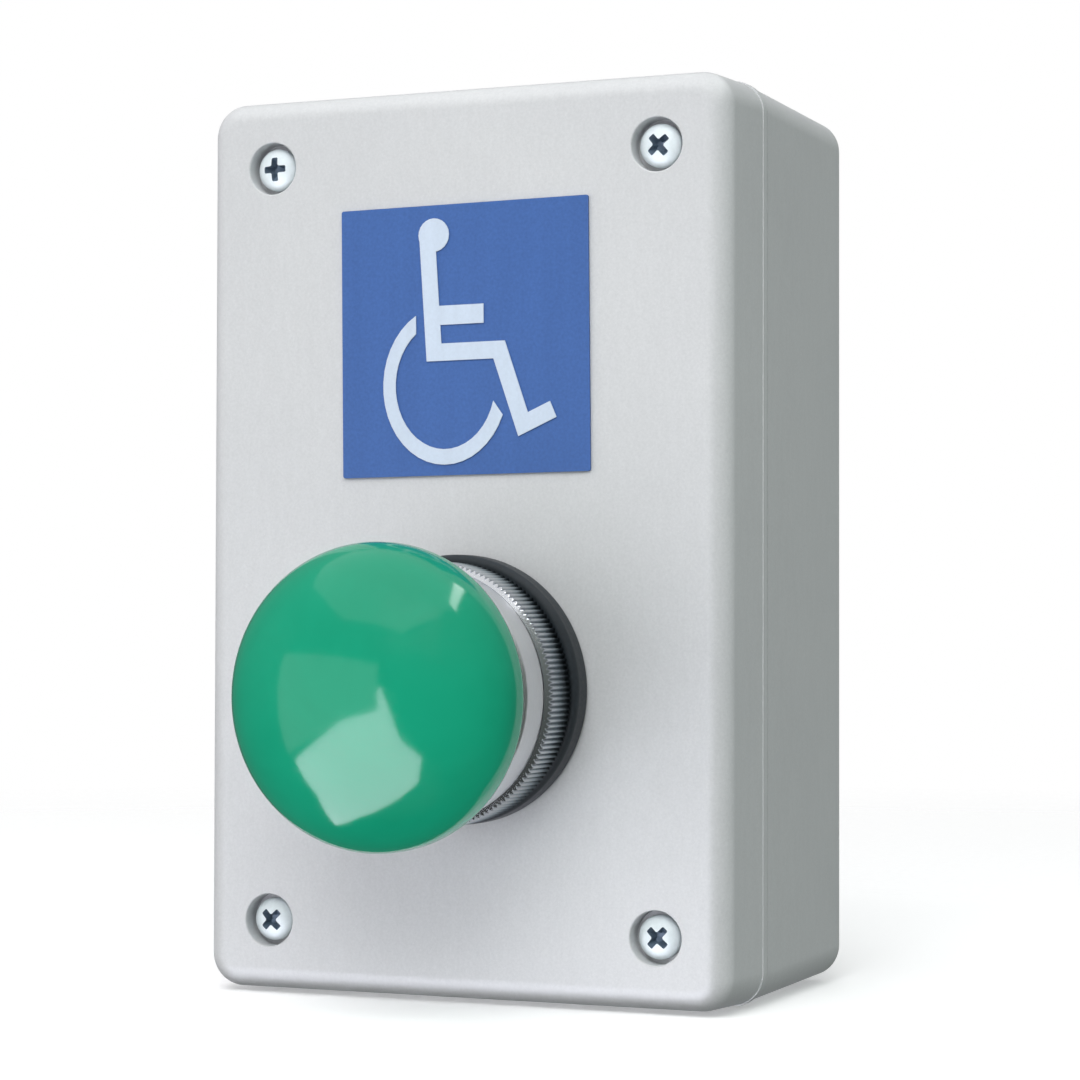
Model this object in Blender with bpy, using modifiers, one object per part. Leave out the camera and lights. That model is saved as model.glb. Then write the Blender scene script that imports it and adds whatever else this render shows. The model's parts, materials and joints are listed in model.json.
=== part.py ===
"""Surface-mounted accessible-door push-button station.

A two-part die-cast case holds a 40 mm mushroom push button, which is clamped through the
front cover by a knurled ring and works a single contact block inside the case.

Everything is modelled in the wall frame: X to the right, Y up and Z out of the wall, in
metres. The parent empty turns that frame so that the finished object has +Z up and its
back face on the plane Y = 0.
"""

import math

import bmesh
import bpy

MM = 0.001
GAP = 0.3 * MM  # clearance between pieces that touch

# Case
CASE_WIDTH = 78.4 * MM
CASE_HEIGHT = 125.0 * MM
CASE_DEPTH = 48.0 * MM
SEAM_Z = 33.2 * MM  # height of the joint between the two halves
SEAM_STEP = 0.15 * MM  # the cover stands this far proud of the rear box
COVER_DRAFT = 0.45 * MM  # each side of the cover opens out this far by the joint
BOX_DRAFT = 0.4 * MM  # each side of the rear box draws in this far by the wall
WALL = 3.0 * MM
CORNER = 4.6 * MM
INNER_CORNER = 2.0 * MM
FRONT_FILLET = 3.0 * MM
LIP_CHAMFER = 0.35 * MM
BACK_CHAMFER = 0.6 * MM
POST_INNER = (24.6 * MM, 48.6 * MM)  # inner faces of a corner post
POST_OVERLAP = 0.6 * MM  # a post runs this far into the side walls
GROOVE_OFFSET = 0.8 * MM  # from the outer wall to the seal groove
GROOVE_WIDTH = 1.4 * MM
GROOVE_DEPTH = 1.4 * MM

# Fasteners: each is (head radius, head height, shank radius)
M3_PAN = (2.95 * MM, 2.1 * MM, 1.5 * MM)
TERMINAL_PAN = (2.7 * MM, 2.0 * MM, 1.5 * MM)
EARTH_PAN = (3.4 * MM, 2.2 * MM, 1.5 * MM)
CLEAR_HOLE = 1.8 * MM

# Cover screws
SCREW_X = 29.05 * MM
SCREW_Y = 52.8 * MM
COUNTERBORE_RADIUS = 3.65 * MM
COUNTERBORE_DEPTH = 2.9 * MM
COVER_SCREW_LENGTH = 27.0 * MM
PILOT_DEPTH = 19.0 * MM
SCREW_TURNS = {  # angle of each cross recess, in degrees
    "cover_screw_top_left": (-1, 1, 2),
    "cover_screw_top_right": (1, 1, 41),
    "cover_screw_bottom_left": (-1, -1, 45),
    "cover_screw_bottom_right": (1, -1, 47),
}

# Back wall
CABLE_HOLE = (0.0, 28.0 * MM)
CABLE_HOLE_RADIUS = 10.5 * MM
GROMMET_BORE = 6.0 * MM
GROMMET_FLANGE = 12.6 * MM
GROMMET_RECESS = 1.2 * MM
GROMMET_SLACK = 0.4 * MM
GROMMET_INSET = 0.1 * MM  # from the back wall's plane to the grommet
GROMMET_LIP = 1.5 * MM  # thickness of the flange inside the case
FIXING_HOLE = (25.0 * MM, 38.0 * MM)
FIXING_RADIUS = 2.25 * MM
EARTH_BOSS = (-27.0 * MM, 20.0 * MM)
EARTH_BOSS_RADIUS = 4.0 * MM
EARTH_BOSS_TOP = 5.0 * MM
EARTH_HOLE_FLOOR = 0.8 * MM
EARTH_WASHER = 0.8 * MM
EARTH_SCREW_LENGTH = 5.2 * MM

# Label. The pictogram is given in fractions of its side, from its top left corner.
LABEL_SIZE = 37.2 * MM
LABEL_CENTRE = (0.95 * MM, 27.7 * MM)
LABEL_TURN = 0.65  # degrees; the label is stuck on very slightly askew
LABEL_THICKNESS = 0.3 * MM
LABEL_CORNER = 0.3 * MM
LABEL_LIFT = 0.1 * MM
FIGURE_THICKNESS = 0.12 * MM
FIGURE_LIFT = 0.06 * MM
FIGURE_STROKE = 0.064
FIGURE_POINTS = ((0.356, 0.112), (0.381, 0.5455), (0.6445, 0.5455), (0.738, 0.8225),
                 (0.858, 0.771))  # top of the back, hip, knee, heel and toe
FIGURE_HEAD = (0.383, 0.111)
FIGURE_HEAD_RADIUS = 0.0622
FIGURE_ARM = ((0.37, 0.4095), (0.583, 0.4095))
FIGURE_ARM_WIDTH = 0.071
WHEEL_CENTRE = (0.425, 0.667)
WHEEL_OUTER = (0.2535, 0.294, 117.5, 336.3)  # two radii, then start and end in degrees
WHEEL_INNER = (0.2025, 0.2365, 125.3, 344.0)
WHEEL_STEPS = 26

# Push button, measured out from the wall along its axis
AXIS = (1.1 * MM, -20.65 * MM)
PANEL_HOLE = 15.25 * MM
BARREL = 14.9 * MM
BARREL_TOP = 63.0 * MM
RING_BORE = BARREL + GAP
TRIM_RADIUS = 18.3 * MM
TRIM_BORE = 15.7 * MM
TRIM_TOP = 52.0 * MM
TRIM_SHIFT = 0.5 * MM  # the loose trim washer sits this far above the axis
RING_RADIUS = 17.75 * MM
RING_CHAMFERS = (0.85 * MM, 0.25 * MM)  # front and back
RING_TOP = 59.6 * MM
BEZEL_RADIUS = 17.0 * MM
BEZEL_TOP = 66.0 * MM
BEZEL_LIP = 2.7 * MM
BEZEL_FLOOR = 1.2 * MM
SEAL_RECESS = 8.0 * MM
STEM_CLEARANCE = 0.6 * MM
FLANGE_RADIUS = 17.5 * MM
FLANGE = (41.0 * MM, 43.4 * MM)
COLLAR_RADIUS = 16.0 * MM
GASKET_RADIUS = 18.0 * MM
BODY_PILOT = 4.6 * MM
BODY_REAR = 38.0 * MM
SPRING_BORE = 10.0 * MM
SPRING_FLOOR = 47.0 * MM
BUSH_BORE = 7.8 * MM
BUSH_TOP = 46.0 * MM
STEM_RADIUS = 5.0 * MM
STEM_TOP = 80.0 * MM
STEM_END = 38.3 * MM
STEM_GROOVE = 0.8 * MM
SHOULDER = (61.0 * MM, 63.0 * MM)
SHOULDER_RADIUS = 7.6 * MM
CLIP = (39.8 * MM, 40.6 * MM)
CLIP_RADIUS = 7.0 * MM
CLIP_MOUTH = (6.4 * MM, 8.0 * MM)
CLIP_MOUTH_DROP = 5.5 * MM
HEAD_RADIUS = 20.0 * MM
HEAD_BACK = 70.8 * MM
HEAD_RIM_ROUND = 3.0 * MM
HEAD_RIM = 1.2 * MM
HEAD_DOME = 12.0 * MM
HEAD_HOLLOW = 5.2 * MM
HEAD_HOLLOW_RADII = (14.5 * MM, 14.0 * MM)  # at its mouth and at its floor
HUB_RADIUS = 8.5 * MM
RETURN_COIL = (6.8 * MM, 0.5 * MM)  # radius of the coil and of its wire

# Contact block, measured from the button's axis and out from the wall
BLOCK_HALF = (15.5 * MM, 18.0 * MM)
BLOCK_WALL = 1.6 * MM
BLOCK_TOP_WALL = 1.7 * MM
BLOCK_CORNER = 1.5 * MM
INSIDE_CORNER = 0.5 * MM
BLOCK_FRONT = 37.7 * MM
BLOCK_REAR = 10.5 * MM
BLOCK_SCREW_Y = 13.6 * MM
BLOCK_SCREW_LENGTH = 33.9 * MM
COLUMN_RADIUS = 3.0 * MM
LID = 1.5 * MM  # thickness of the rear lid
LID_BOSS = (3.6 * MM, 2.8 * MM)  # radius and height
WIRE_SLOT = (4.0 * MM, 8.0 * MM)
RIB = (7.6 * MM, 12.4 * MM)
RIB_Z = (16.1 * MM, 20.6 * MM)
RIB_PILOT = 2.9 * MM
TERMINAL_X = 10.0 * MM
TERMINAL_ACCESS = 3.2 * MM
TERMINAL_SCREW_LENGTH = 5.0 * MM
CLAMP_SIDE = 6.2 * MM
CONTACT_WIDTH = 6.0 * MM
CONTACT_REACH = (6.5 * MM, 7.0 * MM)  # inner ends of its upper and lower legs
STRIP = 0.8 * MM
PLUNGER_HALF = (3.2 * MM, 4.2 * MM)
PLUNGER_Z = (23.8 * MM, 35.2 * MM)
NOSE_RADIUS = 3.1 * MM
PIN_RADIUS = 1.8 * MM
PIN_END = 16.0 * MM
BRIDGE_Z = 26.9 * MM
BRIDGE_SIZE = (23.0 * MM, 4.6 * MM)
BRIDGE_WINDOW = (10.0 * MM, 5.2 * MM)
CONTACT_COIL = (2.9 * MM, 0.25 * MM)
COIL_TURNS = 6.0
SHEET_CORNER = 0.6 * MM

ROUND_STEPS = 36
SMALL_STEPS = 14
CORNER_STEPS = 4

MATERIALS = {  # colour, roughness, metallic
    "grey_paint": ((0.62, 0.64, 0.64), 0.45, 0.2),
    "zinc": ((0.82, 0.84, 0.86), 0.25, 1.0),
    "black_rubber": ((0.025, 0.028, 0.03), 0.6, 0.0),
    "label_blue": ((0.065, 0.155, 0.39), 0.4, 0.0),
    "label_white": ((0.75, 0.8, 0.86), 0.45, 0.0),
    "green_plastic": ((0.01, 0.3, 0.16), 0.12, 0.0),
    "satin_chrome": ((0.72, 0.73, 0.74), 0.3, 1.0),
    "chrome": ((0.8, 0.81, 0.83), 0.12, 1.0),
    "steel": ((0.55, 0.56, 0.58), 0.3, 1.0),
    "black_plastic": ((0.03, 0.03, 0.032), 0.4, 0.0),
    "grey_plastic": ((0.35, 0.36, 0.37), 0.45, 0.0),
    "white_plastic": ((0.7, 0.69, 0.66), 0.4, 0.0),
    "clear_amber": ((0.55, 0.33, 0.1), 0.2, 0.0),
    "brass": ((0.72, 0.5, 0.2), 0.25, 1.0),
    "silver_contact": ((0.8, 0.78, 0.74), 0.25, 1.0),
}


def clear_scene():
    for obj in list(bpy.data.objects):
        bpy.data.objects.remove(obj)


def make_collection(name):
    collection = bpy.data.collections.new(name)
    bpy.context.scene.collection.children.link(collection)
    return collection


def make_material(name):
    colour, roughness, metallic = MATERIALS[name]
    material = bpy.data.materials.new(name)
    material.use_nodes = True
    shader = material.node_tree.nodes["Principled BSDF"]
    shader.inputs["Base Color"].default_value = (*colour, 1.0)
    shader.inputs["Roughness"].default_value = roughness
    shader.inputs["Metallic"].default_value = metallic
    return material


def add_object(name, data, material=None, at=(0.0, 0.0), height=0.0, turn=0.0, flip=False):
    """Places new data in the wall frame. Without a material it is a cutter."""
    obj = bpy.data.objects.new(name, data)
    obj.parent = FRAME
    obj.location = (at[0], at[1], height)
    obj.rotation_euler = (math.pi if flip else 0.0, 0.0, math.radians(turn))
    if material is None:
        CUTTERS.objects.link(obj)
        obj.hide_render = True
        obj.display_type = "WIRE"
    else:
        PARTS.objects.link(obj)
        if material not in bpy.data.materials:
            make_material(material)
        data.materials.append(bpy.data.materials[material])
    return obj


def add_bmesh(name, bm, **place):
    mesh = bpy.data.meshes.new(name)
    bm.to_mesh(mesh)
    bm.free()
    return add_object(name, mesh, **place)


def combine(obj, other, operation="DIFFERENCE"):
    modifier = obj.modifiers.new(f"{operation.lower()}_{other.name}", "BOOLEAN")
    modifier.operation = operation
    modifier.solver = "EXACT"
    modifier.object = other
    return obj


def smooth(obj, angle=35.0):
    obj.data.shade_smooth()
    obj.data.set_sharp_from_angle(angle=math.radians(angle))


def block(name, size, low, high, corner=0.0, draft=0.0, round_high=0.0, round_low=0.0, **place):
    """An upright block from low to high, centred on its place.

    Its upright corners are rounded. Its low end is smaller by the draft on each side, or
    larger if that is negative. The edges around its two ends can be rounded as well.
    """
    bm = bmesh.new()
    bmesh.ops.create_cube(bm, size=1.0)
    for vert in bm.verts:
        shrink = 2 * draft if vert.co.z < 0 else 0.0
        vert.co.x *= size[0] - shrink
        vert.co.y *= size[1] - shrink
        vert.co.z = high if vert.co.z > 0 else low
    if corner:
        upright = [e for e in bm.edges if abs(e.verts[0].co.z - e.verts[1].co.z) > GAP]
        bmesh.ops.bevel(bm, geom=upright, offset=corner, segments=CORNER_STEPS,
                        profile=0.5, affect="EDGES")
    for level, radius, steps in ((high, round_high, CORNER_STEPS), (low, round_low, 1)):
        if radius:
            rim = [e for e in bm.edges if all(abs(v.co.z - level) < 1e-7 for v in e.verts)]
            bmesh.ops.bevel(bm, geom=rim, offset=radius, segments=steps,
                            profile=0.5, affect="EDGES")
    return add_bmesh(name, bm, **place)


def cylinder(name, radius, low, high, steps=SMALL_STEPS, **place):
    bm = bmesh.new()
    bmesh.ops.create_cone(bm, cap_ends=True, segments=steps, radius1=radius,
                          radius2=radius, depth=high - low)
    bmesh.ops.translate(bm, verts=bm.verts, vec=(0.0, 0.0, (low + high) / 2))
    return add_bmesh(name, bm, **place)


def arc(centre_r, centre_z, radius_r, radius_z, start, end, steps):
    """Profile points along an elliptical arc; angles in degrees from the outward side."""
    angles = [math.radians(start + (end - start) * i / steps) for i in range(steps + 1)]
    return [(centre_r + radius_r * math.cos(a), centre_z + radius_z * math.sin(a))
            for a in angles]


def turned(name, profile, closed=False, steps=ROUND_STEPS, **place):
    """A turned solid. Its profile of (radius, z) runs down its outer side."""
    mesh = bpy.data.meshes.new(name)
    edges = [(i, i + 1) for i in range(len(profile) - 1)]
    if closed:
        edges.append((len(profile) - 1, 0))
    mesh.from_pydata([(r, 0.0, z) for r, z in profile], edges, [])
    obj = add_object(name, mesh, **place)
    screw = obj.modifiers.new("turn", "SCREW")
    screw.axis = "Z"
    screw.steps = steps
    screw.render_steps = steps
    screw.use_merge_vertices = True
    screw.merge_threshold = 0.00001
    return obj


def ring(name, inner, outer, low, high, chamfers=None, steps=ROUND_STEPS, **place):
    """A turned ring, whose two outer edges can be chamfered by different amounts."""
    if chamfers:
        front, back = chamfers
        profile = [(inner, high), (outer - front, high), (outer, high - front),
                   (outer, low + back), (outer - back, low), (inner, low)]
    else:
        profile = [(inner, high), (outer, high), (outer, low), (inner, low)]
    return turned(name, profile, closed=True, steps=steps, **place)


def coil(name, radius, wire, low, high, turns, material, at):
    """A compression spring with its outer faces at low and high."""
    points_per_turn = 10
    count = round(turns * points_per_turn)
    curve = bpy.data.curves.new(name, "CURVE")
    curve.dimensions = "3D"
    curve.bevel_depth = wire
    curve.bevel_resolution = 2
    curve.use_fill_caps = True
    spline = curve.splines.new("POLY")
    spline.points.add(count)
    for i, point in enumerate(spline.points):
        angle = 2 * math.pi * turns * i / count
        rise = low + wire * 1.05 + (high - low - 2.1 * wire) * i / count
        point.co = (radius * math.cos(angle), radius * math.sin(angle), rise, 1.0)
    return add_object(name, curve, material, at)


def pan_screw(name, sizes, seat, length, material, at, turn=0.0, flip=False):
    """A pan-head screw whose head bears on the seat height and points out of the wall.

    A flipped screw points the other way, so its head faces the wall.
    """
    head, rise, shank = sizes
    profile = [(0.0, rise)]
    profile += arc(0.0, rise * 0.55, head, rise * 0.45, 75, 0, 3)
    profile += [(head, 0.0), (shank, 0.0), (shank, -length + shank / 2),
                (shank / 2, -length), (0.0, -length)]
    screw = turned(name, profile, steps=SMALL_STEPS, material=material, at=at,
                   height=seat, turn=turn, flip=flip)
    for number, slot_turn in enumerate((turn, turn + 90)):
        slot = cross_slot(f"{name}_slot_{number}", head * 1.3, head * 0.34, rise,
                          at=at, height=seat, turn=slot_turn, flip=flip)
        combine(screw, slot)
    return screw


def cross_slot(name, length, width, top, **place):
    """One tapering arm pair of a cross recess, which starts above the head."""
    bm = bmesh.new()
    bmesh.ops.create_cube(bm, size=1.0)
    for vert in bm.verts:
        upper = vert.co.z > 0
        vert.co.x *= length if upper else length * 0.45
        vert.co.y *= width if upper else width * 0.6
        vert.co.z = top * (1.1 if upper else 0.25)
    return add_bmesh(name, bm, **place)


def frame_block(name, half, band, low, high, corner, **place):
    """A flat rounded frame, whose outer edge is at half and whose bar is a band wide."""
    outer = block(name, (2 * half[0], 2 * half[1]), low, high, corner=corner, **place)
    inner = block(f"{name}_hole", (2 * (half[0] - band), 2 * (half[1] - band)),
                  low - MM, high + MM, corner=corner - band)
    return combine(outer, inner)


def corner_posts(name, low, high):
    """Yields the four corner posts that take the cover screws."""
    outer = (CASE_WIDTH / 2 - WALL + POST_OVERLAP, CASE_HEIGHT / 2 - WALL + POST_OVERLAP)
    size = [outer[i] - POST_INNER[i] for i in (0, 1)]
    middle = [(outer[i] + POST_INNER[i]) / 2 for i in (0, 1)]
    for number, (side, up) in enumerate(((-1, -1), (1, -1), (-1, 1), (1, 1))):
        yield block(f"{name}_{number}", size, low, high, corner=INNER_CORNER,
                    at=(side * middle[0], up * middle[1]))


def screw_holes(name, radius, low, high):
    """Yields a cutter on each cover screw's axis."""
    for number, (side, up, _) in enumerate(SCREW_TURNS.values()):
        yield cylinder(f"{name}_{number}", radius, low, high,
                       at=(side * SCREW_X, up * SCREW_Y))


def build_rear_box():
    width = CASE_WIDTH + 2 * (COVER_DRAFT - SEAM_STEP)
    height = CASE_HEIGHT + 2 * (COVER_DRAFT - SEAM_STEP)
    rim = SEAM_Z - GAP / 2
    box = block("rear_box", (width, height), 0.0, rim, corner=CORNER, draft=BOX_DRAFT,
                round_low=BACK_CHAMFER, material="grey_paint")
    combine(box, block("rear_cavity", (width - 2 * WALL, height - 2 * WALL), WALL,
                       rim + WALL, corner=INNER_CORNER, draft=BOX_DRAFT))
    for post in corner_posts("rear_post", WALL / 2, rim - GAP):
        combine(box, post, "UNION")
    combine(box, cylinder("earth_boss", EARTH_BOSS_RADIUS, WALL / 2, EARTH_BOSS_TOP,
                          at=EARTH_BOSS), "UNION")
    for hole in screw_holes("pilot_hole", CLEAR_HOLE, rim - PILOT_DEPTH, rim + MM):
        combine(box, hole)
    combine(box, cylinder("earth_hole", CLEAR_HOLE, EARTH_HOLE_FLOOR, EARTH_BOSS_TOP + MM,
                          at=EARTH_BOSS))
    combine(box, cylinder("cable_hole", CABLE_HOLE_RADIUS, -MM, WALL + MM, steps=24,
                          at=CABLE_HOLE))
    combine(box, cylinder("cable_recess", GROMMET_FLANGE + GROMMET_SLACK, -MM, GROMMET_RECESS,
                          steps=24, at=CABLE_HOLE))
    for number, (side, up) in enumerate(((-1, -1), (1, -1), (-1, 1), (1, 1))):
        combine(box, cylinder(f"fixing_hole_{number}", FIXING_RADIUS, -MM, WALL + MM,
                              at=(side * FIXING_HOLE[0], up * FIXING_HOLE[1])))
    smooth(box)


def build_front_cover():
    rim = SEAM_Z + GAP / 2
    cover = block("front_cover", (CASE_WIDTH, CASE_HEIGHT), rim, CASE_DEPTH, corner=CORNER,
                  draft=-COVER_DRAFT, round_high=FRONT_FILLET, round_low=LIP_CHAMFER,
                  material="grey_paint")
    combine(cover, block("cover_cavity", (CASE_WIDTH - 2 * WALL, CASE_HEIGHT - 2 * WALL),
                         rim - WALL, CASE_DEPTH - WALL, corner=INNER_CORNER))
    for post in corner_posts("cover_post", rim + GAP, CASE_DEPTH - WALL / 2):
        combine(cover, post, "UNION")
    groove_half = (CASE_WIDTH / 2 - GROOVE_OFFSET, CASE_HEIGHT / 2 - GROOVE_OFFSET)
    combine(cover, frame_block("seal_groove", groove_half, GROOVE_WIDTH, rim - MM,
                               rim + GROOVE_DEPTH, CORNER - GROOVE_OFFSET))
    for hole in screw_holes("cover_hole", CLEAR_HOLE, rim - MM, CASE_DEPTH + MM):
        combine(cover, hole)
    for hole in screw_holes("counterbore", COUNTERBORE_RADIUS,
                            CASE_DEPTH - COUNTERBORE_DEPTH, CASE_DEPTH + MM):
        combine(cover, hole)
    combine(cover, cylinder("panel_hole", PANEL_HOLE, CASE_DEPTH - WALL - MM,
                            CASE_DEPTH + MM, steps=ROUND_STEPS, at=AXIS))
    smooth(cover)


def build_cover_seal():
    rim = SEAM_Z + GAP / 2
    inset = GROOVE_OFFSET + GAP
    seal = frame_block("cover_seal", (CASE_WIDTH / 2 - inset, CASE_HEIGHT / 2 - inset),
                       GROOVE_WIDTH - 2 * GAP, rim - GAP / 6, rim + GROOVE_DEPTH - GAP,
                       CORNER - inset, material="black_rubber")
    smooth(seal)


def build_cover_screws():
    seat = CASE_DEPTH - COUNTERBORE_DEPTH + GAP
    for name, (side, up, turn) in SCREW_TURNS.items():
        smooth(pan_screw(name, M3_PAN, seat, COVER_SCREW_LENGTH, "zinc",
                         (side * SCREW_X, up * SCREW_Y), turn))


def build_cable_grommet():
    neck = CABLE_HOLE_RADIUS - GAP
    back = GROMMET_RECESS - GAP
    front = WALL + GAP
    profile = [(GROMMET_BORE, front + GROMMET_LIP), (GROMMET_FLANGE, front + GROMMET_LIP),
               (GROMMET_FLANGE, front), (neck, front), (neck, back), (GROMMET_FLANGE, back),
               (GROMMET_FLANGE, GROMMET_INSET), (GROMMET_BORE, GROMMET_INSET)]
    smooth(turned("cable_grommet", profile, closed=True, steps=24,
                  material="black_rubber", at=CABLE_HOLE))


def build_earth_terminal():
    washer_low = EARTH_BOSS_TOP + GAP
    washer_high = washer_low + EARTH_WASHER
    smooth(ring("earth_washer", CLEAR_HOLE, EARTH_BOSS_RADIUS, washer_low, washer_high,
                steps=SMALL_STEPS, material="brass", at=EARTH_BOSS))
    smooth(pan_screw("earth_screw", EARTH_PAN, washer_high + GAP, EARTH_SCREW_LENGTH,
                     "brass", EARTH_BOSS))


def label_point(across, down):
    """A point of the label, given as fractions of its side from its top left corner."""
    turn = math.radians(LABEL_TURN)
    right, up = (across - 0.5) * LABEL_SIZE, (0.5 - down) * LABEL_SIZE
    return (LABEL_CENTRE[0] + right * math.cos(turn) - up * math.sin(turn),
            LABEL_CENTRE[1] + right * math.sin(turn) + up * math.cos(turn))


def figure_slab(name, outline, **place):
    """A flat piece of the pictogram within an outline of label points."""
    low = CASE_DEPTH + LABEL_LIFT + LABEL_THICKNESS + FIGURE_LIFT
    levels = (low, low + FIGURE_THICKNESS)
    bm = bmesh.new()
    rows = [[bm.verts.new((*label_point(*point), z)) for point in outline] for z in levels]
    bm.faces.new(rows[1])
    bm.faces.new(reversed(rows[0]))
    for i in range(len(outline)):
        bm.faces.new((rows[0][i - 1], rows[0][i], rows[1][i], rows[1][i - 1]))
    bmesh.ops.recalc_face_normals(bm, faces=bm.faces)
    return add_bmesh(name, bm, **place)


def stroke_outline(points, width):
    """The outline of a line of this width through the points, with mitred corners."""
    sides = ([], [])
    for i, (x, y) in enumerate(points):
        ahead = points[min(i + 1, len(points) - 1)]
        behind = points[max(i - 1, 0)]
        normals = []
        for start, end in ((behind, (x, y)), ((x, y), ahead)):
            length = math.dist(start, end)
            if length:
                normals.append(((end[1] - start[1]) / length, (start[0] - end[0]) / length))
        first, last = normals[0], normals[-1]
        reach = width / 2 / (1 + first[0] * last[0] + first[1] * last[1])
        step = ((first[0] + last[0]) * reach, (first[1] + last[1]) * reach)
        sides[0].append((x + step[0], y + step[1]))
        sides[1].append((x - step[0], y - step[1]))
    return sides[0] + sides[1][::-1]


def ellipse_points(centre, shape, steps):
    """Label points along part of an ellipse."""
    across, down, start, end = shape
    angles = [math.radians(start + (end - start) * i / steps) for i in range(steps + 1)]
    return [(centre[0] + across * math.cos(a), centre[1] - down * math.sin(a)) for a in angles]


def build_label_plate():
    low = CASE_DEPTH + LABEL_LIFT
    plate = block("label_plate", (LABEL_SIZE, LABEL_SIZE), low, low + LABEL_THICKNESS,
                  corner=LABEL_CORNER, at=LABEL_CENTRE, turn=LABEL_TURN, material="label_blue")
    smooth(plate)


def build_label_figure():
    """The seated figure: one bent stroke from its back to its toe, with an arm and a head."""
    figure = figure_slab("label_figure", stroke_outline(FIGURE_POINTS, FIGURE_STROKE),
                         material="label_white")
    arm = figure_slab("figure_arm", stroke_outline(FIGURE_ARM, FIGURE_ARM_WIDTH))
    combine(figure, arm, "UNION")
    circle = (FIGURE_HEAD_RADIUS, FIGURE_HEAD_RADIUS, 0.0, 345.0)
    head = figure_slab("figure_head", ellipse_points(FIGURE_HEAD, circle, 23))
    combine(figure, head, "UNION")
    smooth(figure)


def build_label_wheel():
    """An open elliptical band that runs from behind the back, under the seat, to the leg."""
    outline = ellipse_points(WHEEL_CENTRE, WHEEL_OUTER, WHEEL_STEPS)
    outline += ellipse_points(WHEEL_CENTRE, WHEEL_INNER, WHEEL_STEPS)[::-1]
    smooth(figure_slab("label_wheel", outline, material="label_white"))


def build_mushroom_head():
    rim_low = HEAD_BACK + HEAD_RIM_ROUND
    rim_high = rim_low + HEAD_RIM
    hollow = HEAD_BACK + HEAD_HOLLOW
    mouth, floor = HEAD_HOLLOW_RADII
    socket = STEM_RADIUS + GAP
    profile = arc(0.0, rim_high, HEAD_RADIUS, HEAD_DOME, 90, 0, 10)
    profile += arc(HEAD_RADIUS - HEAD_RIM_ROUND, rim_low, HEAD_RIM_ROUND, HEAD_RIM_ROUND,
                   0, -90, 3)
    profile += [(mouth, HEAD_BACK), (floor, hollow), (HUB_RADIUS, hollow),
                (HUB_RADIUS, HEAD_BACK), (socket, HEAD_BACK), (socket, STEM_TOP + GAP),
                (0.0, STEM_TOP + GAP)]
    smooth(turned("mushroom_head", profile, material="green_plastic", at=AXIS))


def build_plunger_stem():
    groove = STEM_RADIUS - STEM_GROOVE
    slack = GAP / 2
    profile = [(0.0, STEM_TOP), (STEM_RADIUS - slack, STEM_TOP), (STEM_RADIUS, STEM_TOP - slack),
               (STEM_RADIUS, SHOULDER[1]), (SHOULDER_RADIUS, SHOULDER[1]),
               (SHOULDER_RADIUS, SHOULDER[0]), (STEM_RADIUS, SHOULDER[0]),
               (STEM_RADIUS, CLIP[1] + slack), (groove, CLIP[1] + slack),
               (groove, CLIP[0] - slack), (STEM_RADIUS, CLIP[0] - slack),
               (STEM_RADIUS, STEM_END + GAP), (STEM_RADIUS - GAP, STEM_END), (0.0, STEM_END)]
    smooth(turned("plunger_stem", profile, steps=20, material="grey_plastic", at=AXIS))


def build_retaining_clip():
    clip = ring("retaining_clip", STEM_RADIUS - 0.5 * MM, CLIP_RADIUS, *CLIP, steps=24,
                material="steel", at=AXIS)
    mouth = block("clip_mouth", CLIP_MOUTH, CLIP[0] - MM, CLIP[1] + MM,
                  at=(AXIS[0], AXIS[1] - CLIP_MOUTH_DROP))
    smooth(combine(clip, mouth))


def build_bezel():
    """The smooth cap that screws on the barrel's end, with a recess for the stem seal."""
    inner_face = BEZEL_TOP - BEZEL_LIP
    low = RING_TOP + GAP
    floor = inner_face + BEZEL_FLOOR
    bore = STEM_RADIUS + STEM_CLEARANCE
    profile = [(SEAL_RECESS, BEZEL_TOP)]
    profile += arc(BEZEL_RADIUS - MM, BEZEL_TOP - MM, MM, MM, 90, 0, 2)
    profile += [(BEZEL_RADIUS, low + GAP), (BEZEL_RADIUS - GAP, low), (RING_BORE, low),
                (RING_BORE, inner_face), (bore, inner_face), (bore, floor),
                (SEAL_RECESS, floor)]
    smooth(turned("bezel", profile, closed=True, material="satin_chrome", at=AXIS))


def build_stem_seal():
    low = BEZEL_TOP - BEZEL_LIP + BEZEL_FLOOR + GAP
    smooth(ring("stem_seal", STEM_RADIUS + GAP, SEAL_RECESS - GAP, low, BEZEL_TOP - 0.2 * MM,
                steps=24, material="black_rubber", at=AXIS))


def build_mounting_ring():
    smooth(ring("mounting_ring", RING_BORE, RING_RADIUS, TRIM_TOP + GAP, RING_TOP,
                chamfers=RING_CHAMFERS, material="chrome", at=AXIS))


def build_trim_washer():
    low = CASE_DEPTH + GAP
    profile = [(TRIM_BORE, TRIM_TOP)]
    profile += arc(TRIM_RADIUS - MM, TRIM_TOP - MM, MM, MM, 90, 0, 2)
    profile += [(TRIM_RADIUS, low), (TRIM_BORE, low)]
    smooth(turned("trim_washer", profile, closed=True, material="black_rubber",
                  at=(AXIS[0], AXIS[1] + TRIM_SHIFT)))


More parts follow.
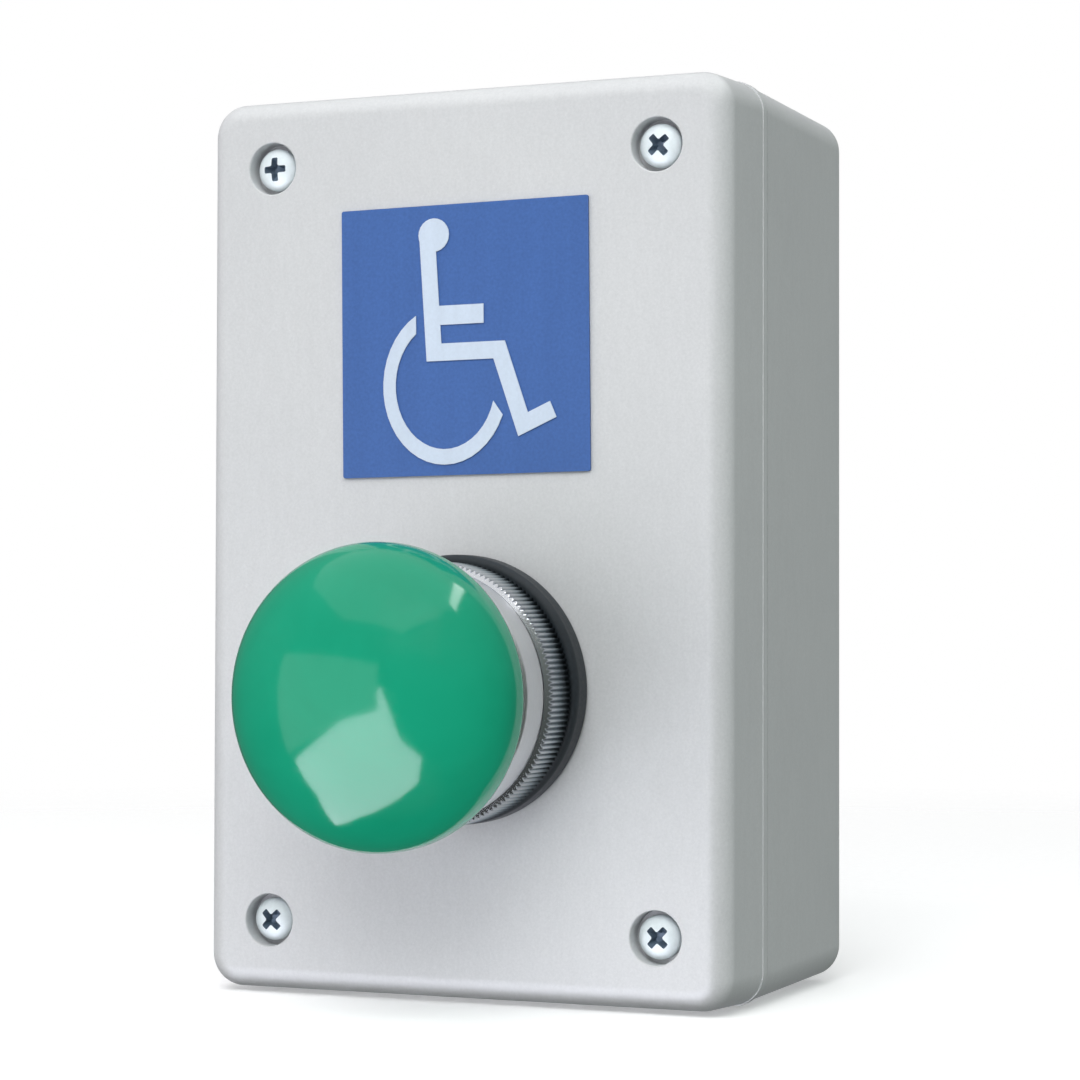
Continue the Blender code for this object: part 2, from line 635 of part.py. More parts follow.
def build_operator_body():
    """The threaded barrel with its rear flange, drilled for the stem, spring and bush."""
    ledge = STEM_RADIUS + 0.8 * MM
    profile = [(SPRING_BORE, BARREL_TOP), (BARREL - 0.5 * MM, BARREL_TOP),
               (BARREL, BARREL_TOP - 0.5 * MM), (BARREL, FLANGE[1]),
               (FLANGE_RADIUS, FLANGE[1]), (FLANGE_RADIUS, FLANGE[0]),
               (COLLAR_RADIUS, FLANGE[0]), (COLLAR_RADIUS, BODY_REAR), (BUSH_BORE, BODY_REAR),
               (BUSH_BORE, BUSH_TOP), (ledge, BUSH_TOP), (ledge, SPRING_FLOOR),
               (SPRING_BORE, SPRING_FLOOR)]
    body = turned("operator_body", profile, closed=True, material="black_plastic", at=AXIS)
    for side in (-1, 1):
        combine(body, cylinder(f"body_hole_{side}", CLEAR_HOLE, BODY_REAR - MM,
                               BODY_REAR + BODY_PILOT,
                               at=(AXIS[0], AXIS[1] + side * BLOCK_SCREW_Y)))
    smooth(body)


def build_panel_gasket():
    smooth(ring("panel_gasket", BARREL + 0.4 * MM, GASKET_RADIUS, FLANGE[1] + GAP,
                CASE_DEPTH - WALL - GAP, material="black_rubber", at=AXIS))


def build_guide_bush():
    smooth(ring("guide_bush", STEM_RADIUS + GAP, BUSH_BORE - GAP, CLIP[1] + 0.4 * MM,
                BUSH_TOP - GAP, steps=24, material="white_plastic", at=AXIS))


def build_return_spring():
    coil("return_spring", *RETURN_COIL, SPRING_FLOOR + GAP, SHOULDER[0] - GAP, COIL_TURNS,
         "steel", AXIS)


def on_block(across, up=0.0):
    """A place measured from the button's axis."""
    return (AXIS[0] + across, AXIS[1] + up)


def build_contact_housing():
    """An open-backed box with two ribs for the contacts and two columns for the screws."""
    size = (2 * BLOCK_HALF[0], 2 * BLOCK_HALF[1])
    housing = block("contact_housing", size, BLOCK_REAR, BLOCK_FRONT, corner=BLOCK_CORNER,
                    material="black_plastic", at=AXIS)
    cavity = [side - 2 * BLOCK_WALL for side in size]
    combine(housing, block("block_cavity", cavity, BLOCK_REAR - MM,
                           BLOCK_FRONT - BLOCK_TOP_WALL, corner=INSIDE_CORNER, at=AXIS))
    for side in (-1, 1):
        rib = block(f"block_rib_{side}", (RIB[1] - RIB[0], cavity[1] + 0.8 * MM), *RIB_Z,
                    at=on_block(side * (RIB[0] + RIB[1]) / 2))
        combine(housing, rib, "UNION")
        column = cylinder(f"block_column_{side}", COLUMN_RADIUS, BLOCK_REAR + 0.2 * MM,
                          BLOCK_FRONT - MM, at=on_block(0.0, side * BLOCK_SCREW_Y))
        combine(housing, column, "UNION")
    for side in (-1, 1):
        combine(housing, cylinder(f"column_hole_{side}", CLEAR_HOLE, BLOCK_REAR - MM,
                                  BLOCK_FRONT + MM, at=on_block(0.0, side * BLOCK_SCREW_Y)))
        combine(housing, cylinder(f"rib_hole_{side}", CLEAR_HOLE, RIB_Z[0] - MM,
                                  RIB_Z[0] + RIB_PILOT, at=on_block(side * TERMINAL_X)))
        combine(housing, block(f"wire_slot_{side}", WIRE_SLOT, BLOCK_REAR - MM,
                               RIB_Z[0] - 0.6 * MM, at=on_block(side * BLOCK_HALF[0])))
    combine(housing, cylinder("plunger_hole", CLIP_RADIUS + 0.6 * MM, BLOCK_FRONT - 3 * MM,
                              BLOCK_FRONT + MM, steps=24, at=AXIS))
    smooth(housing)


def build_contact_cover():
    """The rear lid: it seats the contact spring and leaves the terminal screws in reach."""
    low, high = BLOCK_REAR - GAP - LID, BLOCK_REAR - GAP
    cover = block("contact_cover", (2 * BLOCK_HALF[0], 2 * BLOCK_HALF[1]), low, high,
                  corner=BLOCK_CORNER, material="clear_amber", at=AXIS)
    combine(cover, cylinder("spring_boss", LID_BOSS[0], high - LID / 3, high + LID_BOSS[1],
                            at=AXIS), "UNION")
    combine(cover, cylinder("pin_hole", PIN_RADIUS + 0.4 * MM, low - MM, high + 4 * MM,
                            at=AXIS))
    for side in (-1, 1):
        combine(cover, cylinder(f"terminal_access_{side}", TERMINAL_ACCESS, low - MM, high + MM,
                                at=on_block(side * TERMINAL_X)))
        combine(cover, cylinder(f"cover_screw_hole_{side}", CLEAR_HOLE, low - MM, high + MM,
                                at=on_block(0.0, side * BLOCK_SCREW_Y)))
    smooth(cover)


def build_contact_plunger():
    size = (2 * PLUNGER_HALF[0], 2 * PLUNGER_HALF[1])
    plunger = block("contact_plunger", size, *PLUNGER_Z, corner=INSIDE_CORNER,
                    material="white_plastic", at=AXIS)
    combine(plunger, cylinder("plunger_nose", NOSE_RADIUS, PLUNGER_Z[1] - MM, STEM_END - GAP,
                              at=AXIS), "UNION")
    combine(plunger, cylinder("plunger_pin", PIN_RADIUS, PIN_END, PLUNGER_Z[0] + MM,
                              at=AXIS), "UNION")
    reach = STRIP / 2 + GAP
    combine(plunger, block("bridge_window", BRIDGE_WINDOW, BRIDGE_Z - reach,
                           BRIDGE_Z + reach, at=AXIS))
    smooth(plunger)


def build_contact_bridge():
    smooth(block("contact_bridge", BRIDGE_SIZE, BRIDGE_Z - STRIP / 2, BRIDGE_Z + STRIP / 2,
                 corner=SHEET_CORNER, material="silver_contact", at=AXIS))


def build_contact_spring():
    coil("contact_spring", *CONTACT_COIL, BLOCK_REAR + LID_BOSS[1], PLUNGER_Z[0] - GAP,
         COIL_TURNS, "steel", AXIS)


def bent_strip(name, path, width, material, at):
    """A strip of sheet that follows a path of (across, z) points."""
    bm = bmesh.new()
    rows = [[bm.verts.new((x, side * width / 2, z)) for x, z in path] for side in (-1, 1)]
    for i in range(len(path) - 1):
        bm.faces.new((rows[0][i], rows[0][i + 1], rows[1][i + 1], rows[1][i]))
    strip = add_bmesh(name, bm, material=material, at=at)
    sheet = strip.modifiers.new("sheet", "SOLIDIFY")
    sheet.thickness = STRIP
    sheet.offset = 0.0
    sheet.use_even_offset = True
    return strip


def build_terminal(name, side):
    """One fixed contact, bent round its rib, with its wire clamp and screw."""
    upper = RIB_Z[1] + GAP + STRIP / 2
    lower = RIB_Z[0] - GAP - STRIP / 2
    riser = RIB[1] + GAP + STRIP / 2 + 0.05 * MM
    path = [(side * x, z) for x, z in ((CONTACT_REACH[0], upper), (riser, upper),
                                       (riser, lower), (CONTACT_REACH[1], lower))]
    contact = bent_strip(f"fixed_contact_{name}", path, CONTACT_WIDTH, "brass", AXIS)
    centre = on_block(side * TERMINAL_X)
    combine(contact, cylinder(f"tab_hole_{name}", CLEAR_HOLE, lower - STRIP,
                              lower + STRIP, at=centre))
    clamp_high = lower - STRIP / 2 - GAP
    clamp = block(f"terminal_clamp_{name}", (CLAMP_SIDE, CLAMP_SIDE), clamp_high - STRIP,
                  clamp_high, corner=SHEET_CORNER, material="zinc", at=centre)
    combine(clamp, cylinder(f"clamp_hole_{name}", CLEAR_HOLE, clamp_high - 2 * MM,
                            clamp_high + 2 * MM, at=centre))
    smooth(clamp)
    seat = clamp_high - STRIP - GAP
    smooth(pan_screw(f"terminal_screw_{name}", TERMINAL_PAN, seat,
                     TERMINAL_SCREW_LENGTH, "zinc", centre, turn=20, flip=True))


def build_block_screws():
    seat = BLOCK_REAR - 2 * GAP - LID
    for name, side in (("lower", -1), ("upper", 1)):
        smooth(pan_screw(f"block_screw_{name}", TERMINAL_PAN, seat, BLOCK_SCREW_LENGTH,
                         "zinc", on_block(0.0, side * BLOCK_SCREW_Y), turn=15, flip=True))


clear_scene()
PARTS = make_collection("Push_Button_Station")
CUTTERS = make_collection("Cutters")
CUTTERS.hide_render = True
FRAME = bpy.data.objects.new("wall_frame", None)
FRAME.rotation_euler = (math.pi / 2, 0.0, 0.0)
PARTS.objects.link(FRAME)

build_rear_box()
build_front_cover()
build_cover_seal()
build_cover_screws()
build_cable_grommet()
build_earth_terminal()
build_label_plate()
build_label_figure()
build_label_wheel()
build_mushroom_head()
build_plunger_stem()
build_retaining_clip()
build_bezel()
build_stem_seal()
build_mounting_ring()
build_trim_washer()
build_operator_body()
build_panel_gasket()
build_guide_bush()
build_return_spring()
build_contact_housing()
build_contact_cover()
build_contact_plunger()
build_contact_bridge()
build_contact_spring()
build_terminal("left", -1)
build_terminal("right", 1)
build_block_screws()
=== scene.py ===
"""Looks of the push-button station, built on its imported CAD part.

Meshes are made in the wall frame (X right, Y up, Z out of the wall) and turned into the row
frame at the end. Where a fine piece stands for a CAD node, its place comes from that node.
"""

import json
import math

import bmesh
import bpy
from mathutils import Matrix, Vector


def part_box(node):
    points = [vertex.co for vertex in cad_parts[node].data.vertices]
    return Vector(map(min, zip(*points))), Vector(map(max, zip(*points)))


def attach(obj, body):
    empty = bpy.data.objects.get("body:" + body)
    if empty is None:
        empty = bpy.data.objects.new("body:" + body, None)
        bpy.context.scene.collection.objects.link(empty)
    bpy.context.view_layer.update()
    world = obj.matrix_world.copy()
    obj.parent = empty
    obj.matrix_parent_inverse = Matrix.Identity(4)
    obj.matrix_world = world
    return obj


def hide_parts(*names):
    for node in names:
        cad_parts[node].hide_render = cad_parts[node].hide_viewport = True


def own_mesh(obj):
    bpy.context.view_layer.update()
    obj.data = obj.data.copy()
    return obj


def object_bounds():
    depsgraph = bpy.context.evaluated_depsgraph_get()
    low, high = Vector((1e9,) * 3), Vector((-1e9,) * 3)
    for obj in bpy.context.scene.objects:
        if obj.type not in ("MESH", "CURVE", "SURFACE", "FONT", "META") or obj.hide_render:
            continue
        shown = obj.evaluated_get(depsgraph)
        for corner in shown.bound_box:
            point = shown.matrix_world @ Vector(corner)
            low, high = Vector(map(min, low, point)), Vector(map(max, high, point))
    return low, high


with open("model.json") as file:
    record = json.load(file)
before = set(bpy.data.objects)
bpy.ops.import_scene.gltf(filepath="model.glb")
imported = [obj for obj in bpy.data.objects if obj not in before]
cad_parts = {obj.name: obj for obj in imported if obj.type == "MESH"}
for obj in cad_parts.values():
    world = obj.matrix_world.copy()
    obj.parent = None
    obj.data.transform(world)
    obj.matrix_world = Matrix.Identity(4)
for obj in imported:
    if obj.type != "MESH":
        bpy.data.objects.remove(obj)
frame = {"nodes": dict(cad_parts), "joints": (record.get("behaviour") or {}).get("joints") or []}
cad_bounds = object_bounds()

MM = 0.001
TINY = 1e-7
WHITE = (1.0, 1.0, 1.0)
TO_WORLD = Matrix.Rotation(math.pi / 2, 4, "X")
SIDES = ((-1, -1), (1, -1), (-1, 1), (1, 1))

# Case
GAP = 0.3 * MM
WALL = 3.0 * MM
CORNER = 4.6 * MM
INNER_CORNER = 2.0 * MM
FRONT_FILLET = 3.0 * MM
LIP_ROUND = 0.35 * MM
BACK_ROUND = 0.6 * MM
COVER_DRAFT = 0.45 * MM
BOX_DRAFT = 0.4 * MM
LIP = (1.7 * MM, 0.09 * MM)  # height and step of the bead along the cover's edge
POST_INNER = (24.6 * MM, 48.6 * MM)
POST_OVERLAP = 0.6 * MM
GROOVE_OFFSET = 0.8 * MM
GROOVE_WIDTH = 1.4 * MM
GROOVE_DEPTH = 1.4 * MM
COUNTERBORE = (3.65 * MM, 2.9 * MM)  # radius and depth
EDGE_ROUND = 0.22 * MM
CLEAR_HOLE = 1.8 * MM
PILOT_DEPTH = 19.0 * MM
PANEL_HOLE = 15.25 * MM
FIXING_HOLE = (25.0 * MM, 38.0 * MM)
FIXING_RADIUS = 2.25 * MM
CABLE_HOLE_RADIUS = 10.5 * MM
CABLE_RECESS = (13.0 * MM, 1.2 * MM)  # radius and depth
EARTH_BOSS = (4.0 * MM, 5.0 * MM)  # radius and height
EARTH_HOLE_FLOOR = 0.8 * MM

# Fasteners
SCREW_HEAD = (2.95 * MM, 2.1 * MM, 1.5 * MM)  # head radius, head height, shank radius
SCREW_CROWN = 0.58  # the domed share of the head's height
SCREW_LENGTH = 27.0 * MM
SCREW_PLAIN = 2.0 * MM  # unthreaded length at each end of the shank
SCREW_TURNS = {"top_left": 2, "top_right": 41, "bottom_left": 45, "bottom_right": 47}
RECESS = (3.7 * MM, 1.0 * MM, 1.5 * MM)  # length and width of an arm, depth
ARM_TOP = (1.08, 1.05)  # shares of an arm's length and width above the head
ARM_FLOOR = (0.4, 0.6)  # and at the recess's floor
RECESS_CONE = (0.85 * MM, 0.55 * MM, 0.2 * MM)  # upper and lower radii, start above the head
SCREW_THREAD = (0.5 * MM, 0.26 * MM)  # pitch and depth

# Button
KNURL_TEETH = 150
KNURL_DEPTH = 0.42 * MM
RING_CHAMFERS = (0.85 * MM, 0.25 * MM)  # front and back
RING_BORE = 15.2 * MM
BACK_EDGE = 0.3 * MM  # rounding at the back of the bezel and the trim washer
TRIM_BORE = 15.7 * MM
HEAD_RIM = (3.0 * MM, 1.2 * MM)  # rounding under the rim and height of its straight side
HEAD_HOLLOW = 5.2 * MM
HEAD_MOUTH = (14.6 * MM, 14.3 * MM, 14.0 * MM)  # radii at the mouth, its edge and the floor
MOUTH_CHAMFER = 0.15 * MM
HUB = (8.5 * MM, 5.3 * MM)  # outer radius and socket
STEM = 5.0 * MM
STEM_SHOULDER = (61.0 * MM, 63.0 * MM, 7.6 * MM)  # from, to, radius
CLIP_GROOVE = (0.8 * MM, 0.15 * MM)  # depth and slack beside the clip
SEAL_RECESS = 8.0 * MM
BEZEL_BORE = 5.6 * MM
BEZEL_LIP = (2.7 * MM, 1.2 * MM)  # from the front to its inner face, and that wall's height
BARREL = (14.9 * MM, 1.0 * MM, 0.5 * MM)  # radius, then pitch and depth of its thread
BARREL_FLANGE = (41.0 * MM, 43.4 * MM, 17.5 * MM)  # from, to, radius
COLLAR = 16.0 * MM
BODY_BORES = (10.0 * MM, 5.8 * MM, 7.8 * MM)  # radii for the spring, stem and bush
BODY_LEVELS = (46.0 * MM, 47.0 * MM)  # top of the bush's bore, floor of the spring's
BODY_PILOT = 4.6 * MM
GROMMET_BORE = 6.0 * MM
# Painted shade: the knurled ring's colour goes nearly black towards its back, where it meets the
# washer.
RING_BACK_SHADE = ((0.0, (0.03, 0.042, 0.05)), (0.22, (0.16, 0.2, 0.22)), (0.45, (0.62, 0.69, 0.71)),
           (0.7, (0.96, 0.97, 0.97)), (1.0, (1.0, 1.0, 1.0)))  # from back to front
# Painted shade down in the knurl's grooves, darkest at the groove floor.
GROOVE_SHADE = ((0.0, (0.3, 0.34, 0.36)), (0.7, (1.0, 1.0, 1.0)))  # from groove floor to tip
STEPS = 144


# ---------------------------------------------------------------- geometry helpers


def span(node):
    """A CAD node's lowest and highest corners in the wall frame."""
    low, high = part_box(node)
    return Vector((low.x, low.z, -high.y)), Vector((high.x, high.z, -low.y))


def centre(node):
    low, high = span(node)
    return (low.x + high.x) / 2, (low.y + high.y) / 2


def add_mesh(name, bm):
    bmesh.ops.recalc_face_normals(bm, faces=bm.faces)
    mesh = bpy.data.meshes.new(name)
    bm.to_mesh(mesh)
    bm.free()
    obj = bpy.data.objects.new(name, mesh)
    bpy.context.scene.collection.objects.link(obj)
    return obj


def shift(bm, at=(0.0, 0.0), height=0.0, turn=0.0):
    place = Matrix.Translation((*at, height)) @ Matrix.Rotation(math.radians(turn), 4, "Z")
    bmesh.ops.transform(bm, matrix=place, verts=bm.verts)


def upright_edges(bm):
    return [e for e in bm.edges if abs(e.verts[0].co.z - e.verts[1].co.z) > TINY]


def block(name, size, low, high, corner=0.0, draft=0.0, round_high=0.0, round_low=0.0,
          steps=12, at=(0.0, 0.0), turn=0.0):
    """An upright block with rounded corners; the edges around its ends can be rounded too.

    A draft narrows its low end, or widens it where it is negative.
    """
    bm = bmesh.new()
    bmesh.ops.create_cube(bm, size=1.0)
    for vert in bm.verts:
        shrink = 2 * draft if vert.co.z < 0 else 0.0
        vert.co.x *= size[0] - shrink
        vert.co.y *= size[1] - shrink
        vert.co.z = high if vert.co.z > 0 else low
    if corner:
        bmesh.ops.bevel(bm, geom=upright_edges(bm), offset=corner, segments=steps,
                        profile=0.5, affect="EDGES")
    for level, radius, segments in ((high, round_high, 10), (low, round_low, 4)):
        if radius:
            rim = [e for e in bm.edges if all(abs(v.co.z - level) < TINY for v in e.verts)]
            bmesh.ops.bevel(bm, geom=rim, offset=radius, segments=segments, profile=0.5,
                            affect="EDGES")
    shift(bm, at, 0.0, turn)
    return add_mesh(name, bm)


def arc(centre_r, centre_z, radius_r, radius_z, start, end, steps):
    """Profile points along an elliptical arc; angles in degrees from the outward side."""
    angles = [math.radians(start + (end - start) * i / steps) for i in range(steps + 1)]
    return [(centre_r + radius_r * math.cos(a), centre_z + radius_z * math.sin(a))
            for a in angles]


def lathe(name, profile, at=(0.0, 0.0), closed=False, steps=STEPS, tooth=None, height=0.0,
          turn=0.0):
    """A turned solid. tooth, where given, is the largest radius at each step."""
    bm = bmesh.new()
    columns = []
    axis = {}
    for i in range(steps):
        angle = 2 * math.pi * i / steps
        column = []
        for j, (radius, z) in enumerate(profile):
            if radius < TINY:
                if j not in axis:
                    axis[j] = bm.verts.new((0.0, 0.0, z))
                column.append(axis[j])
                continue
            if tooth:
                radius = min(radius, tooth(i))
            column.append(bm.verts.new((radius * math.cos(angle),
                                        radius * math.sin(angle), z)))
        columns.append(column)
    count = len(profile)
    for i in range(steps):
        here, there = columns[i], columns[(i + 1) % steps]
        for j in range(count if closed else count - 1):
            k = (j + 1) % count
            corners = [here[j], there[j], there[k], here[k]]
            unique = list(dict.fromkeys(corners))
            if len(unique) > 2:
                bm.faces.new(unique)
    shift(bm, at, height, turn)
    return add_mesh(name, bm)


def cylinder(name, radius, low, high, at=(0.0, 0.0), steps=48):
    return lathe(name, [(0.0, high), (radius, high), (radius, low), (0.0, low)], at,
                 steps=steps)


def flared_hole(name, radius, low, high, at, steps=96, flare=EDGE_ROUND):
    """A hole's cutter, which leaves a small rounded edge where it meets the face at high."""
    profile = [(0.0, high + MM), (radius + flare, high + MM)]
    profile += arc(radius + flare, high - flare, flare, flare, 90, 180, 5)
    profile += [(radius, low), (0.0, low)]
    return lathe(name, profile, at, steps=steps)


def combine(obj, other, operation="DIFFERENCE"):
    modifier = obj.modifiers.new("combine", "BOOLEAN")
    modifier.operation = operation
    modifier.solver = "EXACT"
    modifier.object = other
    return obj


def bake(obj):
    """Applies an object's modifiers and removes what they used."""
    graph = bpy.context.evaluated_depsgraph_get()
    mesh = bpy.data.meshes.new_from_object(obj.evaluated_get(graph))
    used = [m.object for m in obj.modifiers if m.type == "BOOLEAN"]
    obj.modifiers.clear()
    obj.data = mesh
    for other in used:
        bpy.data.objects.remove(other)
    return obj


def finish_piece(obj, material, slot, body, *nodes, angle=32.0):
    """Turns a wall-frame mesh into the row frame, shades it and puts it on its body."""
    obj.data.transform(TO_WORLD)
    obj.data.shade_smooth()
    obj.data.set_sharp_from_angle(angle=math.radians(angle))
    normals = obj.modifiers.new("normals", "WEIGHTED_NORMAL")
    normals.keep_sharp = True
    obj.data.materials.clear()
    obj.data.materials.append(material)
    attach(obj, body)
    if nodes:
        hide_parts(*nodes)
    return obj


# ---------------------------------------------------------------- materials


def new_material(name, **sockets):
    """A Principled material. Underscores in a socket's name stand for spaces."""
    material = bpy.data.materials.new(name)
    material.use_nodes = True
    shader = material.node_tree.nodes["Principled BSDF"]
    for socket, value in sockets.items():
        shader.inputs[socket.replace("_", " ")].default_value = value
    return material, material.node_tree, shader


def place_nodes(tree, stretch=(1.0, 1.0, 1.0)):
    """Object coordinates in metres, stretched along each axis."""
    coordinates = tree.nodes.new("ShaderNodeTexCoord")
    mapping = tree.nodes.new("ShaderNodeMapping")
    mapping.inputs["Scale"].default_value = stretch
    tree.links.new(coordinates.outputs["Object"], mapping.inputs["Vector"])
    return mapping.outputs["Vector"]


def noise(tree, place, scale, detail=3.0, roughness=0.55, distortion=0.0):
    node = tree.nodes.new("ShaderNodeTexNoise")
    node.inputs["Scale"].default_value = scale
    node.inputs["Detail"].default_value = detail
    node.inputs["Roughness"].default_value = roughness
    node.inputs["Distortion"].default_value = distortion
    tree.links.new(place, node.inputs["Vector"])
    return node.outputs["Fac"]


def cells(tree, place, scale):
    node = tree.nodes.new("ShaderNodeTexVoronoi")
    node.inputs["Scale"].default_value = scale
    tree.links.new(place, node.inputs["Vector"])
    return node.outputs["Distance"]


def ramp(tree, factor, stops):
    node = tree.nodes.new("ShaderNodeValToRGB")
    elements = node.color_ramp.elements
    while len(elements) < len(stops):
        elements.new(0.5)
    for element, (position, colour) in zip(elements, stops):
        element.position = position
        element.color = (*colour, 1.0)
    tree.links.new(factor, node.inputs["Fac"])
    return node.outputs["Color"]


def spread(tree, factor, low, high, start=0.3, end=0.7):
    node = tree.nodes.new("ShaderNodeMapRange")
    node.inputs["From Min"].default_value = start
    node.inputs["From Max"].default_value = end
    node.inputs["To Min"].default_value = low
    node.inputs["To Max"].default_value = high
    tree.links.new(factor, node.inputs["Value"])
    return node.outputs["Result"]


def mix_colours(tree, first, second, amount, mode="MULTIPLY"):
    node = tree.nodes.new("ShaderNodeMix")
    node.data_type = "RGBA"
    node.blend_type = mode
    node.inputs["Factor"].default_value = amount
    tree.links.new(first, node.inputs["A"])
    tree.links.new(second, node.inputs["B"])
    return node.outputs["Result"]


def bump(tree, shader, heights):
    """Chains a bump for each (height, strength, distance) and feeds the shader's normal."""
    last = None
    for height, strength, distance in heights:
        node = tree.nodes.new("ShaderNodeBump")
        node.inputs["Strength"].default_value = strength
        node.inputs["Distance"].default_value = distance
        tree.links.new(height, node.inputs["Height"])
        if last:
            tree.links.new(last, node.inputs["Normal"])
        last = node.outputs["Normal"]
    tree.links.new(last, shader.inputs["Normal"])


def shades(colour, amount):
    """A darker and a lighter shade of a colour."""
    return [tuple(min(1.0, c * (1 + side * amount)) for c in colour) for side in (-1, 1)]


def grained(name, colour, amount, roughness, grain, depth, stretch=(1.0, 1.0, 1.0),
            patch=90.0, **sockets):
    """A surface with broad patches, a fine grain, uneven roughness and a fine bump."""
    material, tree, shader = new_material(name, **sockets)
    place = place_nodes(tree, stretch)
    broad = noise(tree, place_nodes(tree), patch, 2.0)
    fine = noise(tree, place, grain, 4.0)
    dark, light = shades(colour, amount)
    base = ramp(tree, fine, ((0.3, dark), (0.7, light)))
    cloud = ramp(tree, broad, ((0.3, (0.93,) * 3), (0.7, (1.0,) * 3)))
    tree.links.new(mix_colours(tree, base, cloud, 1.0), shader.inputs["Base Color"])
    tree.links.new(spread(tree, fine, *roughness), shader.inputs["Roughness"])
    bump(tree, shader, ((fine, 0.5, depth),))
    return material


def painted_case():
    """Light grey paint on a die casting: a fine sparkle, faint clouds and orange peel."""
    material, tree, shader = new_material("grey_paint_fine", Metallic=0.12,
                                          Specular_IOR_Level=0.42)
    place = place_nodes(tree)
    cloud = noise(tree, place, 26.0, 3.0)
    streak = noise(tree, place_nodes(tree, (1.0, 1.0, 0.25)), 900.0, 3.0)
    speckle = noise(tree, place, 2600.0, 4.0, 0.65)
    fleck = cells(tree, place, 3400.0)
    base = ramp(tree, speckle, ((0.3, (0.568, 0.576, 0.587)), (0.7, (0.632, 0.639, 0.65))))
    broad = ramp(tree, cloud, ((0.3, (0.955, 0.955, 0.96)), (0.7, (1.0, 1.0, 1.0))))
    base = mix_colours(tree, base, broad, 1.0)
    drawn = ramp(tree, streak, ((0.35, (0.98, 0.98, 0.98)), (0.65, (1.0, 1.0, 1.0))))
    base = mix_colours(tree, base, drawn, 1.0)
    sparkle = ramp(tree, fleck, ((0.0, (1.12, 1.12, 1.12)), (0.22, (1.0, 1.0, 1.0))))
    tree.links.new(mix_colours(tree, base, sparkle, 1.0), shader.inputs["Base Color"])
    tree.links.new(spread(tree, speckle, 0.40, 0.56), shader.inputs["Roughness"])
    peel = noise(tree, place, 700.0, 2.0)
    bump(tree, shader, ((peel, 0.22, 0.02 * MM), (speckle, 0.35, 0.008 * MM)))
    return material


def moulded_green():
    """Glossy moulded plastic with faint flow clouds and a slightly wavy skin."""
    material, tree, shader = new_material("green_plastic_gloss", IOR=1.5)
    place = place_nodes(tree)
    flow = noise(tree, place, 70.0, 4.0, 0.6, 0.6)
    wave = noise(tree, place, 130.0, 2.0)
    scuff = noise(tree, place_nodes(tree, (1.0, 1.0, 4.0)), 700.0, 5.0, 0.7)
    base = ramp(tree, flow, ((0.3, (0.003, 0.245, 0.135)), (0.7, (0.005, 0.276, 0.156))))
    tree.links.new(base, shader.inputs["Base Color"])
    tree.links.new(spread(tree, scuff, 0.07, 0.16), shader.inputs["Roughness"])
    edge = tree.nodes.new("ShaderNodeLayerWeight")
    tree.links.new(spread(tree, edge.outputs["Facing"], 0.5, 0.1, 0.72, 0.97),
                   shader.inputs["Specular IOR Level"])
    bump(tree, shader, ((wave, 0.28, 0.12 * MM), (scuff, 0.08, 0.004 * MM)))
    return material


def turned_metal(name, colour, axis_at, roughness, line_scale, depth, anisotropy,
                 grooved=None):
    """Metal with fine lathe marks, which run around an axis that points out of the wall.

    A grooved part is given by its back, chamfer and front levels and by the radii of its
    groove floors and tooth tips. Painted shade darkens it towards its back and down in its
    grooves.
    """
    material, tree, shader = new_material(name, Metallic=1.0, Anisotropic=anisotropy)
    tangent = tree.nodes.new("ShaderNodeTangent")
    tangent.direction_type = "RADIAL"
    tangent.axis = "Y"
    tree.links.new(tangent.outputs["Tangent"], shader.inputs["Tangent"])
    coordinates = tree.nodes.new("ShaderNodeTexCoord")
    moved = tree.nodes.new("ShaderNodeVectorMath")
    moved.operation = "SUBTRACT"
    moved.inputs[1].default_value = (axis_at[0], 0.0, axis_at[1])
    tree.links.new(coordinates.outputs["Object"], moved.inputs[0])
    split = tree.nodes.new("ShaderNodeSeparateXYZ")
    tree.links.new(moved.outputs["Vector"], split.inputs["Vector"])
    flat = tree.nodes.new("ShaderNodeCombineXYZ")
    tree.links.new(split.outputs["X"], flat.inputs["X"])
    tree.links.new(split.outputs["Z"], flat.inputs["Z"])
    radius = tree.nodes.new("ShaderNodeVectorMath")
    radius.operation = "LENGTH"
    tree.links.new(flat.outputs["Vector"], radius.inputs[0])
    lines = tree.nodes.new("ShaderNodeCombineXYZ")
    tree.links.new(radius.outputs["Value"], lines.inputs["X"])
    tree.links.new(split.outputs["Y"], lines.inputs["Y"])
    marks = noise(tree, lines.outputs["Vector"], line_scale, 4.0, 0.7)
    smudge = noise(tree, coordinates.outputs["Object"], 160.0, 3.0)
    dark, light = shades(colour, 0.1)
    base = ramp(tree, marks, ((0.3, dark), (0.7, light)))
    film = ramp(tree, smudge, ((0.3, (0.9, 0.9, 0.91)), (0.7, (1.0, 1.0, 1.0))))
    base = mix_colours(tree, base, film, 1.0)
    if grooved:
        back, chamfer, front, floor, tip = grooved
        # Painted shade: the colour darkens towards the ring's back.
        level = spread(tree, split.outputs["Y"], 0.0, 1.0, -back, -front)
        base = mix_colours(tree, base, ramp(tree, level, RING_BACK_SHADE), 1.0)
        # Painted shade down in the grooves. The front chamfer is left undarkened.
        depth_in = spread(tree, radius.outputs["Value"], 0.0, 1.0, floor, tip)
        on_chamfer = spread(tree, split.outputs["Y"], 0.0, 1.0, -chamfer, -chamfer - 0.1 * MM)
        shown = tree.nodes.new("ShaderNodeMath")
        shown.operation = "MAXIMUM"
        tree.links.new(depth_in, shown.inputs[0])
        tree.links.new(on_chamfer, shown.inputs[1])
        base = mix_colours(tree, base, ramp(tree, shown.outputs["Value"], GROOVE_SHADE), 1.0)
    tree.links.new(base, shader.inputs["Base Color"])
    tree.links.new(spread(tree, smudge, *roughness), shader.inputs["Roughness"])
    bump(tree, shader, ((marks, 0.4, depth),))
    return material


